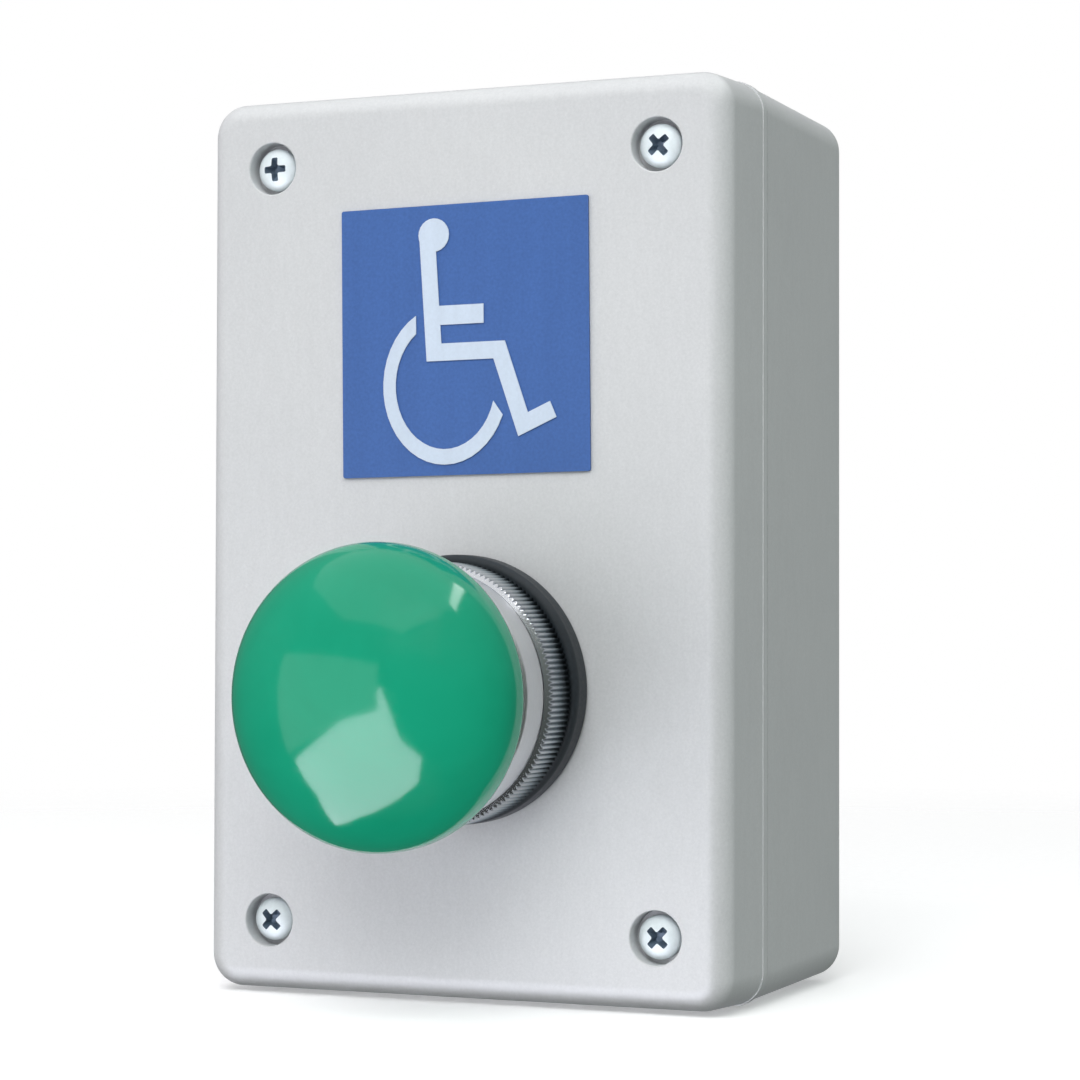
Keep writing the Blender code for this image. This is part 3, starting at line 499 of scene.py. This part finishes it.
def printed_film(name, colour, amount):
    """A printed vinyl film: fine print grain, faint vertical banding and a satin skin."""
    material, tree, shader = new_material(name, Specular_IOR_Level=0.4)
    place = place_nodes(tree)
    grain = noise(tree, place, 2400.0, 3.0)
    band = noise(tree, place_nodes(tree, (1.0, 1.0, 0.06)), 420.0, 2.0)
    dark, light = shades(colour, amount)
    base = ramp(tree, grain, ((0.3, dark), (0.7, light)))
    lines = ramp(tree, band, ((0.35, (0.93, 0.93, 0.93)), (0.65, (1.0, 1.0, 1.0))))
    tree.links.new(mix_colours(tree, base, lines, 0.8), shader.inputs["Base Color"])
    tree.links.new(spread(tree, grain, 0.42, 0.55), shader.inputs["Roughness"])
    bump(tree, shader, ((grain, 0.25, 0.006 * MM),))
    return material


AXIS = centre("mushroom_head")
PAINT = painted_case()
GREEN = moulded_green()
BLUE_FILM = printed_film("label_blue_film", (0.049, 0.119, 0.342), 0.1)
WHITE_FILM = printed_film("label_white_film", (0.57, 0.65, 0.77), 0.03)
SATIN = turned_metal("satin_metal", (0.78, 0.79, 0.8), AXIS, (0.34, 0.46), 9000.0,
                     0.004 * MM, 0.3)
RING_LOW, RING_HIGH = span("mounting_ring")
RING_TIP = (RING_HIGH.x - RING_LOW.x) / 2
# The knurled ring's plating, with painted shade towards its back and in its grooves.
BRIGHT = turned_metal("bright_plate", (0.74, 0.76, 0.79), AXIS, (0.16, 0.27), 6000.0,
                      0.003 * MM, 0.1,
                      (RING_LOW.z, RING_HIGH.z - RING_CHAMFERS[0], RING_HIGH.z,
                       RING_TIP - KNURL_DEPTH, RING_TIP))
ZINC = grained("zinc_plate", (0.80, 0.83, 0.86), 0.08, (0.24, 0.4), 1500.0, 0.006 * MM,
               Metallic=1.0)
SCREW_ZINC = grained("screw_zinc", (0.77, 0.84, 0.87), 0.04, (0.45, 0.58), 1500.0, 0.004 * MM,
                     Metallic=0.15, Specular_IOR_Level=0.8)
# Painted shade for the screws' cross recesses: a dark colour for the recess faces.
RECESS_SHADE = grained("screw_recess_shade", (0.13, 0.18, 0.24), 0.2, (0.45, 0.6), 1500.0,
                      0.004 * MM, Metallic=0.3)
RUBBER = grained("black_rubber_fine", (0.017, 0.022, 0.027), 0.25, (0.42, 0.58), 1800.0,
                 0.01 * MM, Specular_IOR_Level=0.45)
GREY_PLASTIC = grained("grey_plastic_fine", (0.33, 0.34, 0.35), 0.08, (0.35, 0.5), 1200.0,
                       0.008 * MM)
BLACK_PLASTIC = grained("black_plastic_fine", (0.022, 0.022, 0.024), 0.2, (0.35, 0.5),
                        1100.0, 0.01 * MM)
WHITE_PLASTIC = grained("white_plastic_fine", (0.68, 0.67, 0.64), 0.05, (0.35, 0.5), 900.0,
                        0.006 * MM)
AMBER = grained("amber_plastic_fine", (0.5, 0.27, 0.06), 0.08, (0.16, 0.26), 500.0,
                0.004 * MM, Transmission_Weight=0.35)
BRASS = grained("brass_fine", (0.7, 0.47, 0.19), 0.1, (0.22, 0.38), 1600.0, 0.006 * MM,
                Metallic=1.0)
SILVER = grained("silver_strip", (0.8, 0.78, 0.74), 0.08, (0.2, 0.34), 1400.0, 0.005 * MM,
                 stretch=(0.1, 1.0, 1.0), Metallic=1.0)
STEEL = grained("spring_steel", (0.48, 0.49, 0.51), 0.12, (0.22, 0.36), 2000.0, 0.004 * MM,
                Metallic=1.0)


# ---------------------------------------------------------------- the case


def frame_cutter(name, half, band, low, high, corner):
    outer = block(name, (2 * half[0], 2 * half[1]), low, high, corner=corner)
    inner = block(f"{name}_hole", (2 * (half[0] - band), 2 * (half[1] - band)), low - MM,
                  high + MM, corner=corner - band)
    return bake(combine(outer, inner))


def corner_posts(name, width, height, low, high):
    outer = (width / 2 - WALL + POST_OVERLAP, height / 2 - WALL + POST_OVERLAP)
    size = [outer[i] - POST_INNER[i] for i in (0, 1)]
    for side, up in SIDES:
        at = [sign * (outer[i] + POST_INNER[i]) / 2 for i, sign in enumerate((side, up))]
        yield block(name, size, low, high, corner=INNER_CORNER, steps=6, at=at)


def build_cover():
    low, high = span("front_cover")
    rim, face = low.z, high.z
    flare = COVER_DRAFT * (1 - LIP_ROUND / (face - rim))
    width, height = high.x - low.x - 2 * flare, high.y - low.y - 2 * flare
    lip, step = LIP
    cover = block("cover_casting", (width - 2 * step, height - 2 * step), rim, face,
                  corner=CORNER, draft=-COVER_DRAFT, round_high=FRONT_FILLET,
                  round_low=LIP_ROUND)
    bead = (high.x - low.x - step / 2, high.y - low.y - step / 2)
    combine(cover, block("bead", bead, rim, rim + lip, corner=CORNER, draft=-step / 4,
                         round_high=0.6 * step, round_low=LIP_ROUND), "UNION")
    combine(cover, block("cavity", (width - 2 * WALL, height - 2 * WALL), rim - WALL,
                         face - WALL, corner=INNER_CORNER, steps=6))
    for post in corner_posts("post", width, height, rim + GAP, face - WALL / 2):
        combine(cover, post, "UNION")
    half = (width / 2 - GROOVE_OFFSET, height / 2 - GROOVE_OFFSET)
    combine(cover, frame_cutter("groove", half, GROOVE_WIDTH, rim - MM, rim + GROOVE_DEPTH,
                                CORNER - GROOVE_OFFSET))
    for corner in SCREW_TURNS:
        at = centre(f"cover_screw_{corner}")
        combine(cover, cylinder("screw_hole", CLEAR_HOLE, rim - MM, face - MM, at))
        combine(cover, flared_hole("counterbore", COUNTERBORE[0], face - COUNTERBORE[1],
                                   face, at))
    combine(cover, flared_hole("panel_hole", PANEL_HOLE, face - WALL - MM, face, AXIS,
                               steps=STEPS))
    finish_piece(bake(cover), PAINT, "grey_paint", "case", "front_cover")


def build_box():
    low, high = span("rear_box")
    width, height, rim = high.x - low.x, high.y - low.y, high.z
    box = block("box_casting", (width, height), low.z, rim, corner=CORNER, draft=BOX_DRAFT,
                round_low=BACK_ROUND)
    combine(box, block("cavity", (width - 2 * WALL, height - 2 * WALL), WALL, rim + WALL,
                       corner=INNER_CORNER, draft=BOX_DRAFT, steps=6))
    for post in corner_posts("post", width, height, WALL / 2, rim - GAP):
        combine(box, post, "UNION")
    earth = centre("earth_washer")
    combine(box, cylinder("boss", EARTH_BOSS[0], WALL / 2, EARTH_BOSS[1], earth), "UNION")
    combine(box, cylinder("earth_hole", CLEAR_HOLE, EARTH_HOLE_FLOOR, EARTH_BOSS[1] + MM,
                          earth))
    for corner in SCREW_TURNS:
        combine(box, cylinder("pilot", CLEAR_HOLE, rim - PILOT_DEPTH, rim + MM,
                              centre(f"cover_screw_{corner}")))
    cable = centre("cable_grommet")
    combine(box, cylinder("cable_hole", CABLE_HOLE_RADIUS, -MM, WALL + MM, cable, steps=96))
    combine(box, cylinder("recess", CABLE_RECESS[0], -MM, CABLE_RECESS[1], cable, steps=96))
    for side, up in SIDES:
        combine(box, cylinder("fixing_hole", FIXING_RADIUS, -MM, WALL + MM,
                              (side * FIXING_HOLE[0], up * FIXING_HOLE[1])))
    finish_piece(bake(box), PAINT, "grey_paint", "case", "rear_box")


def cross_arm(name, at, top, turn):
    """One arm pair of a cross recess: it narrows and shortens towards its floor."""
    length, width, depth = RECESS
    above, rounding = 0.25 * MM, 0.18 * MM
    bm = bmesh.new()
    bmesh.ops.create_cube(bm, size=1.0)
    for vert in bm.verts:
        upper = vert.co.z > 0
        along, across = ARM_TOP if upper else ARM_FLOOR
        vert.co.x *= length * along
        vert.co.y *= width * across
        vert.co.z = above if upper else -depth
    bmesh.ops.bevel(bm, geom=upright_edges(bm), offset=rounding, segments=4, profile=0.5,
                    affect="EDGES")
    shift(bm, at, top, turn)
    return add_mesh(name, bm)


def build_screws():
    """Pan-head screws with a cross recess and a threaded shank."""
    head, rise, shank = SCREW_HEAD
    pitch, cut = SCREW_THREAD
    edge = 0.15 * MM
    tip = 0.1 * MM - SCREW_LENGTH
    threads = int((SCREW_LENGTH - 2 * SCREW_PLAIN) / pitch)
    cone_top, cone_floor, cone_above = RECESS_CONE
    cone = [(0.0, cone_above), (cone_top, cone_above), (cone_floor, -RECESS[2]),
            (0.0, -RECESS[2] - GAP)]
    for corner, turn in SCREW_TURNS.items():
        node = f"cover_screw_{corner}"
        seat = span(node)[0].z + SCREW_LENGTH
        profile = [(0.0, rise)]
        profile += arc(0.0, rise * (1 - SCREW_CROWN), head, rise * SCREW_CROWN, 78, 0, 16)
        profile += arc(head - edge, edge, edge, edge, 0, -90, 3)
        profile += [(shank, 0.0)]
        for i in range(threads):
            level = -SCREW_PLAIN - i * pitch
            profile += [(shank, level), (shank - cut, level - pitch / 2)]
        profile += [(shank / 2, tip), (0.0, tip)]
        at = centre(node)
        screw = lathe(f"screw_{corner}", profile, at, steps=64, height=seat, turn=turn)
        for extra in (0, 90):
            combine(screw, cross_arm("arm", at, seat + rise, turn + extra))
        combine(screw, lathe("cone", cone, at, steps=24, height=seat + rise))
        finish_piece(bake(screw), SCREW_ZINC, "zinc", "case", node)
        # The second material is painted shade for the recess faces.
        screw.data.materials.append(RECESS_SHADE)
        darken_recess(screw, at, seat + rise)


def darken_recess(screw, at, top):
    """Gives the faces of the cross recess a darker colour, which is painted shade."""
    reach, core = RECESS[0] * 0.56, 0.9 * MM
    shallow, deep = 0.12 * MM, RECESS[2] + 0.5 * MM
    to_wall = TO_WORLD.inverted()
    for face in screw.data.polygons:
        point = to_wall @ face.center
        facing = to_wall @ face.normal
        out = Vector((point.x - at[0], point.y - at[1], 0.0))
        inward = facing.x * out.x + facing.y * out.y < 0.0 or out.length < core
        if shallow < top - point.z < deep and out.length < reach and inward:
            face.material_index = 1


def build_grommet():
    low, high = span("cable_grommet")
    flange = (high.x - low.x) / 2
    neck = CABLE_HOLE_RADIUS - GAP
    back = CABLE_RECESS[1] - GAP
    front = WALL + GAP
    edge = 0.35 * MM
    profile = arc(GROMMET_BORE + edge, high.z - edge, edge, edge, 180, 90, 5)
    profile += arc(flange - edge, high.z - edge, edge, edge, 90, 0, 5)
    profile += [(flange, front), (neck, front), (neck, back), (flange, back)]
    profile += arc(flange - edge, low.z + edge, edge, edge, 0, -90, 5)
    profile += arc(GROMMET_BORE + edge, low.z + edge, edge, edge, -90, -180, 5)
    grommet = lathe("grommet", profile, centre("cable_grommet"), closed=True, steps=96)
    finish_piece(grommet, RUBBER, "black_rubber", "case", "cable_grommet")


# ---------------------------------------------------------------- the button


def build_head():
    """The mushroom: a full dome, a narrow rim, a hollow underside and a hub."""
    low, high = span("mushroom_head")
    radius = (high.x - low.x) / 2
    rounding, rim = HEAD_RIM
    rim_low = low.z + rounding
    rim_high = rim_low + rim
    hollow = low.z + HEAD_HOLLOW
    hub, socket = HUB
    mouth, edge, floor = HEAD_MOUTH
    stem_top = span("plunger_stem")[1].z + GAP
    profile = arc(0.0, rim_high, radius, high.z - rim_high, 90, 0, 48)
    profile += arc(radius - rounding, rim_low, rounding, rounding, 0, -84, 12)
    profile += [(mouth, low.z), (edge, low.z + MOUTH_CHAMFER), (floor, hollow - MM)]
    profile += arc(floor - MM, hollow - MM, MM, MM, 0, 90, 4)
    profile += arc(hub + MM, hollow - MM, MM, MM, 90, 180, 4)
    profile += [(hub, low.z + 0.2 * MM), (hub - 0.2 * MM, low.z), (socket, low.z),
                (socket, stem_top), (0.0, stem_top)]
    head = lathe("dome_head", profile, AXIS, steps=192)
    finish_piece(head, GREEN, "green_plastic", "button", "mushroom_head")


def build_stem():
    low, high = span("plunger_stem")
    shoulder_low, shoulder_high, shoulder = STEM_SHOULDER
    clip_low, clip_high = span("retaining_clip")[0].z, span("retaining_clip")[1].z
    groove, slack = CLIP_GROOVE
    edge, end_chamfer = 0.2 * MM, 0.3 * MM
    profile = [(0.0, high.z), (STEM - edge, high.z), (STEM, high.z - edge)]
    profile += [(STEM, shoulder_high), (shoulder - edge, shoulder_high),
                (shoulder, shoulder_high - edge), (shoulder, shoulder_low + edge),
                (shoulder - edge, shoulder_low), (STEM, shoulder_low)]
    profile += [(STEM, clip_high + slack), (STEM - groove, clip_high + slack),
                (STEM - groove, clip_low - slack), (STEM, clip_low - slack)]
    profile += [(STEM, low.z + end_chamfer), (STEM - end_chamfer, low.z), (0.0, low.z)]
    finish_piece(lathe("stem_rod", profile, AXIS, steps=96), GREY_PLASTIC, "grey_plastic",
                 "button", "plunger_stem")


def build_bezel():
    low, high = span("bezel")
    radius = (high.x - low.x) / 2
    lip, wall = BEZEL_LIP
    inner = high.z - lip
    edge = 0.25 * MM
    profile = arc(SEAL_RECESS + edge, high.z - edge, edge, edge, 180, 90, 4)
    profile += arc(radius - MM, high.z - MM, MM, MM, 90, 0, 10)
    profile += arc(radius - BACK_EDGE, low.z + BACK_EDGE, BACK_EDGE, BACK_EDGE, 0, -90, 4)
    profile += [(RING_BORE, low.z), (RING_BORE, inner), (BEZEL_BORE, inner),
                (BEZEL_BORE, inner + wall), (SEAL_RECESS, inner + wall)]
    finish_piece(lathe("bezel_cap", profile, AXIS, closed=True), SATIN, "satin_chrome",
                 "case", "bezel")


def build_knurled_ring():
    """The ring's outer face carries straight serrations, which its chamfers cut back."""
    low, high = span("mounting_ring")
    radius = (high.x - low.x) / 2
    front, back = RING_CHAMFERS
    per_tooth = 6
    shape = (0.0, 0.34, 0.74, 1.0, 0.74, 0.34)

    def tooth(i):
        return radius - KNURL_DEPTH * (1.0 - shape[i % per_tooth])

    profile = [(RING_BORE, high.z)]
    profile += [(radius - front * (1 - i / 8), high.z - front * i / 8) for i in range(9)]
    profile += [(radius - back * i / 4, low.z + back * (1 - i / 4)) for i in range(5)]
    profile += [(RING_BORE, low.z)]
    ring = lathe("knurled_ring", profile, AXIS, closed=True, steps=KNURL_TEETH * per_tooth,
                 tooth=tooth)
    finish_piece(ring, BRIGHT, "chrome", "case", "mounting_ring", angle=25.0)


def build_washer():
    low, high = span("trim_washer")
    radius = (high.x - low.x) / 2
    profile = [(TRIM_BORE, high.z)]
    profile += arc(radius - MM, high.z - MM, MM, MM, 90, 0, 10)
    profile += arc(radius - BACK_EDGE, low.z + BACK_EDGE, BACK_EDGE, BACK_EDGE, 0, -90, 4)
    profile += [(TRIM_BORE, low.z)]
    finish_piece(lathe("washer_ring", profile, centre("trim_washer"), closed=True), RUBBER,
                 "black_rubber", "case", "trim_washer")


def build_barrel():
    """The operator's barrel with a fine thread under the rings."""
    low, high = span("operator_body")
    barrel, pitch, depth = BARREL
    flange_low, flange_high, flange = BARREL_FLANGE
    bore, ledge, bush = BODY_BORES
    bush_top, spring_floor = BODY_LEVELS
    edge = 0.2 * MM
    profile = [(bore, high.z), (barrel - depth, high.z)]
    level = high.z - depth
    while level - pitch > flange_high + 1.5 * MM:
        profile += [(barrel, level), (barrel - depth, level - pitch / 2)]
        level -= pitch
    profile += [(barrel, level), (barrel, flange_high), (flange - edge, flange_high),
                (flange, flange_high - edge), (flange, flange_low), (COLLAR, flange_low),
                (COLLAR, low.z), (bush, low.z), (bush, bush_top), (ledge, bush_top),
                (ledge, spring_floor), (bore, spring_floor)]
    body = lathe("threaded_barrel", profile, AXIS, closed=True, steps=96)
    for name in ("block_screw_lower", "block_screw_upper"):
        combine(body, cylinder("hole", CLEAR_HOLE, low.z - MM, low.z + BODY_PILOT,
                               centre(name)))
    finish_piece(bake(body), BLACK_PLASTIC, "black_plastic", "case", "operator_body")


def travel_of(joint):
    found = [j for j in frame["joints"] if j["name"] == joint]
    return max(abs(limit) for limit in found[0]["range_m"])


def build_spring(name, node, wire, turns, joint):
    """A compression spring with closed end turns."""
    low, high = span(node)
    radius = (high.x - low.x) / 2 - wire
    at = centre(node)
    points, sides = round(turns * 40), 10
    closed = 2.1 * wire
    length = high.z - low.z - closed
    bm = bmesh.new()
    rings = []
    for i in range(points + 1):
        t = turns * i / points
        if t < 1:
            rise = closed * t
        elif t > turns - 1:
            rise = length - closed * (turns - t)
        else:
            rise = closed + (length - 2 * closed) * (t - 1) / (turns - 2)
        angle = 2 * math.pi * t
        out = Vector((math.cos(angle), math.sin(angle), 0.0))
        middle = out * radius + Vector((*at, low.z + closed / 2 + rise))
        rings.append([bm.verts.new(middle + wire * (out * math.cos(a) + Vector((0, 0, 1))
                                                    * math.sin(a)))
                      for a in (2 * math.pi * k / sides for k in range(sides))])
    for here, there in zip(rings, rings[1:]):
        for k in range(sides):
            m = (k + 1) % sides
            bm.faces.new((here[k], here[m], there[m], there[k]))
    bm.faces.new(list(reversed(rings[0])))
    bm.faces.new(rings[-1])
    spring = finish_piece(add_mesh(name, bm), STEEL, "steel", "case", node)
    travel = travel_of(joint)
    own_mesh(spring)


build_cover()
build_box()
build_screws()
build_grommet()
build_head()
build_stem()
build_bezel()
build_knurled_ring()
build_washer()
build_barrel()
build_spring("return_coil", "return_spring", 0.5 * MM, 6.0, "button_press")
build_spring("contact_coil", "contact_spring", 0.25 * MM, 7.0, "contact_press")

NODE_MATERIALS = {
    "label_plate": BLUE_FILM,
    "label_figure": WHITE_FILM,
    "label_wheel": WHITE_FILM,
    "cover_seal": RUBBER,
    "stem_seal": RUBBER,
    "panel_gasket": RUBBER,
    "earth_screw": BRASS,
    "earth_washer": BRASS,
    "fixed_contact_left": BRASS,
    "fixed_contact_right": BRASS,
    "terminal_clamp_left": ZINC,
    "terminal_clamp_right": ZINC,
    "terminal_screw_left": ZINC,
    "terminal_screw_right": ZINC,
    "block_screw_lower": ZINC,
    "block_screw_upper": ZINC,
    "retaining_clip": STEEL,
    "guide_bush": WHITE_PLASTIC,
    "contact_plunger": WHITE_PLASTIC,
    "contact_bridge": SILVER,
    "contact_housing": BLACK_PLASTIC,
    "contact_cover": AMBER,
}
for node, material in NODE_MATERIALS.items():
    obj = frame["nodes"][node]
    obj.data.materials.clear()
    obj.data.materials.append(material)


# ---------------------------------------------------------------- stage, light and camera

HEAD = Vector((AXIS[0], -span("mushroom_head")[1].z, AXIS[1]))
FLOOR_LEVEL = cad_bounds[0][2] - 0.2 * MM
FLOOR_RADIUS = 1.4
FLOOR_FADE = (0.1, 0.5)  # it fades out between these distances from its middle
CAMERA_AT = (0.17673, -0.42387, -0.01027)
CAMERA_TURN = 0.4125  # towards -X from straight at the wall
CAMERA_TILT = 0.0253  # upwards
CAMERA_ROLL = 0.0024
LENS = 101.27
SENSOR = 36.0


def build_floor():
    """A pale disc under the case, which fades out towards its rim."""
    bm = bmesh.new()
    bmesh.ops.create_circle(bm, cap_ends=True, segments=96, radius=FLOOR_RADIUS)
    floor = add_mesh("floor", bm)
    floor.location = (0.0, 0.0, FLOOR_LEVEL)
    material, tree, shader = new_material("floor_paper", Roughness=0.9,
                                          Specular_IOR_Level=0.1, Emission_Strength=0.2,
                                          Emission_Color=(1.0, 1.0, 1.0, 1.0))
    coordinates = tree.nodes.new("ShaderNodeTexCoord")
    grain = noise(tree, coordinates.outputs["Object"], 500.0, 2.0)
    paper = ramp(tree, grain, ((0.3, (0.87, 0.87, 0.875)), (0.7, (0.9, 0.9, 0.9))))
    tree.links.new(paper, shader.inputs["Base Color"])
    distance = tree.nodes.new("ShaderNodeVectorMath")
    distance.operation = "LENGTH"
    tree.links.new(coordinates.outputs["Object"], distance.inputs[0])
    clear = tree.nodes.new("ShaderNodeBsdfTransparent")
    mix = tree.nodes.new("ShaderNodeMixShader")
    tree.links.new(spread(tree, distance.outputs["Value"], 1.0, 0.0, *FLOOR_FADE),
                   mix.inputs["Fac"])
    tree.links.new(clear.outputs["BSDF"], mix.inputs[1])
    tree.links.new(shader.outputs["BSDF"], mix.inputs[2])
    tree.links.new(mix.outputs["Shader"], tree.nodes["Material Output"].inputs["Surface"])
    floor.data.materials.append(material)
    floor.visible_shadow = False
    floor.visible_glossy = False
    floor.visible_diffuse = False


def direction(azimuth, elevation):
    """A unit vector. Azimuth 0 is straight out of the front, and grows towards +X."""
    a, e = math.radians(azimuth), math.radians(elevation)
    return Vector((math.sin(a) * math.cos(e), -math.cos(a) * math.cos(e), math.sin(e)))


def softbox(name, azimuth, elevation, radiance, colour=WHITE, distance=0.8,
            size=(0.5, 0.5)):
    """A soft rectangular light aimed at the button's head, given by its brightness."""
    light = bpy.data.lights.new(name, "AREA")
    light.shape = "RECTANGLE"
    light.size, light.size_y = size
    light.energy = radiance * math.pi * size[0] * size[1]
    light.color = colour
    obj = bpy.data.objects.new(name, light)
    away = direction(azimuth, elevation)
    turn = away.to_track_quat("Z", "Y").to_matrix().to_4x4()
    obj.matrix_world = Matrix.Translation(HEAD + away * distance) @ turn
    obj.visible_camera = False
    obj.visible_glossy = False
    bpy.context.scene.collection.objects.link(obj)
    return obj


def only_lights(light, *names):
    """Keeps a light to the named pieces."""
    lit = bpy.data.collections.new(f"{light.name}_only")
    for name in names:
        lit.objects.link(bpy.data.objects[name])
    light.light_linking.receiver_collection = lit


def reflector(name, corners, distance, radiance, colour=WHITE):
    """A bright card that shows only in reflections. Its corners are seen from the head."""
    rays = [direction(*corner) for corner in corners]
    middle = sum(rays, Vector()).normalized()
    bm = bmesh.new()
    bm.faces.new([bm.verts.new(HEAD + ray * distance / ray.dot(middle)) for ray in rays])
    card = add_mesh(name, bm)
    material = new_material(name, Base_Color=(0.0, 0.0, 0.0, 1.0), Roughness=1.0,
                            Emission_Strength=radiance, Emission_Color=(*colour, 1.0))[0]
    material.cycles.emission_sampling = "NONE"
    card.data.materials.append(material)
    card.visible_camera = False
    card.visible_diffuse = False
    card.visible_shadow = False
    card.visible_transmission = False


def layer(tree, factor, below, above):
    mix = tree.nodes.new("ShaderNodeMixShader")
    tree.links.new(factor, mix.inputs["Fac"])
    tree.links.new(below, mix.inputs[1])
    tree.links.new(above, mix.inputs[2])
    return mix.outputs["Shader"]


def sky(tree, height, greener, levels):
    """A sky with a brightness for each share of the way from straight down to straight up."""
    node = tree.nodes.new("ShaderNodeBackground")
    stops = [(share, (value, value, value * 1.02)) for share, value in levels]
    colour = mix_colours(tree, ramp(tree, height, stops), greener, 1.0)
    tree.links.new(colour, node.inputs["Color"])
    return node.outputs["Background"]


def build_world():
    """White for the camera, a dim room for reflections and a soft sky for the rest."""
    world = bpy.data.worlds.new("studio")
    bpy.context.scene.world = world
    world.use_nodes = True
    tree = world.node_tree
    white = tree.nodes["Background"]
    white.inputs["Color"].default_value = (*WHITE, 1.0)
    coordinates = tree.nodes.new("ShaderNodeTexCoord")
    split = tree.nodes.new("ShaderNodeSeparateXYZ")
    tree.links.new(coordinates.outputs["Generated"], split.inputs["Vector"])
    height = spread(tree, split.outputs["Z"], 0.0, 1.0, -1.0, 1.0)
    side = spread(tree, split.outputs["X"], 0.0, 1.0, 0.0, 0.9)
    greener = ramp(tree, side, ((0.0, WHITE), (1.0, (0.91, 1.02, 0.94))))
    soft = sky(tree, height, greener, ((0.0, 0.13), (0.5, 0.44), (0.8, 0.56), (1.0, 0.7)))
    room = sky(tree, height, greener, ((0.0, 0.05), (0.5, 0.11), (0.75, 0.22), (1.0, 0.4)))
    path = tree.nodes.new("ShaderNodeLightPath")
    shown = layer(tree, path.outputs["Is Glossy Ray"], soft, room)
    shown = layer(tree, path.outputs["Is Camera Ray"], shown, white.outputs["Background"])
    tree.links.new(shown, tree.nodes["World Output"].inputs["Surface"])


def build_camera():
    camera = bpy.data.cameras.new("camera")
    camera.lens = LENS
    camera.sensor_width = SENSOR
    camera.clip_start = 0.01
    obj = bpy.data.objects.new("camera", camera)
    obj.matrix_world = (Matrix.Translation(CAMERA_AT)
                        @ Matrix.Rotation(CAMERA_TURN, 4, "Z")
                        @ Matrix.Rotation(math.pi / 2 + CAMERA_TILT, 4, "X")
                        @ Matrix.Rotation(CAMERA_ROLL, 4, "Z"))
    bpy.context.scene.collection.objects.link(obj)
    bpy.context.scene.camera = obj


build_floor()
build_world()
reflector("low_left_card", ((-57, -25), (-23, -10), (-3, 5), (7, -20), (22, -32), (22, -48),
                            (-47, -62), (-85, -57), (-58, -42)), 0.5, 6.0,
          (0.98, 0.98, 1.08))
reflector("left_card", ((-60, -22), (-60, 15), (-5, 15), (-5, -6), (-23, -10)), 0.55, 1.0)
reflector("ceiling_card", ((-75, 44), (-30, 34), (8, 33), (40, 46), (67, 55), (100, 58),
                           (140, 52), (180, 48), (-140, 50), (-105, 48)), 0.6, 0.9)
reflector("window_card", ((72, 52), (148, 50), (148, 57), (72, 58)), 0.5, 7.0)
GREENISH = (0.94, 1.0, 0.97)
softbox("front_soft", 15, 40, 4.9)
softbox("left_soft", -75, 10, 2.7)
softbox("upper_soft", -15, 70, 1.5)
softbox("right_soft", 45, 40, 1.2, GREENISH)
softbox("low_left_soft", -45, -20, 0.85)
softbox("low_right_soft", 75, -50, 0.85, GREENISH)
head_fill = softbox("head_fill", 12, -56, 3.9, distance=0.5, size=(0.35, 0.35))
only_lights(head_fill, "dome_head")
build_camera()
bpy.context.scene.view_settings.view_transform = "Standard"
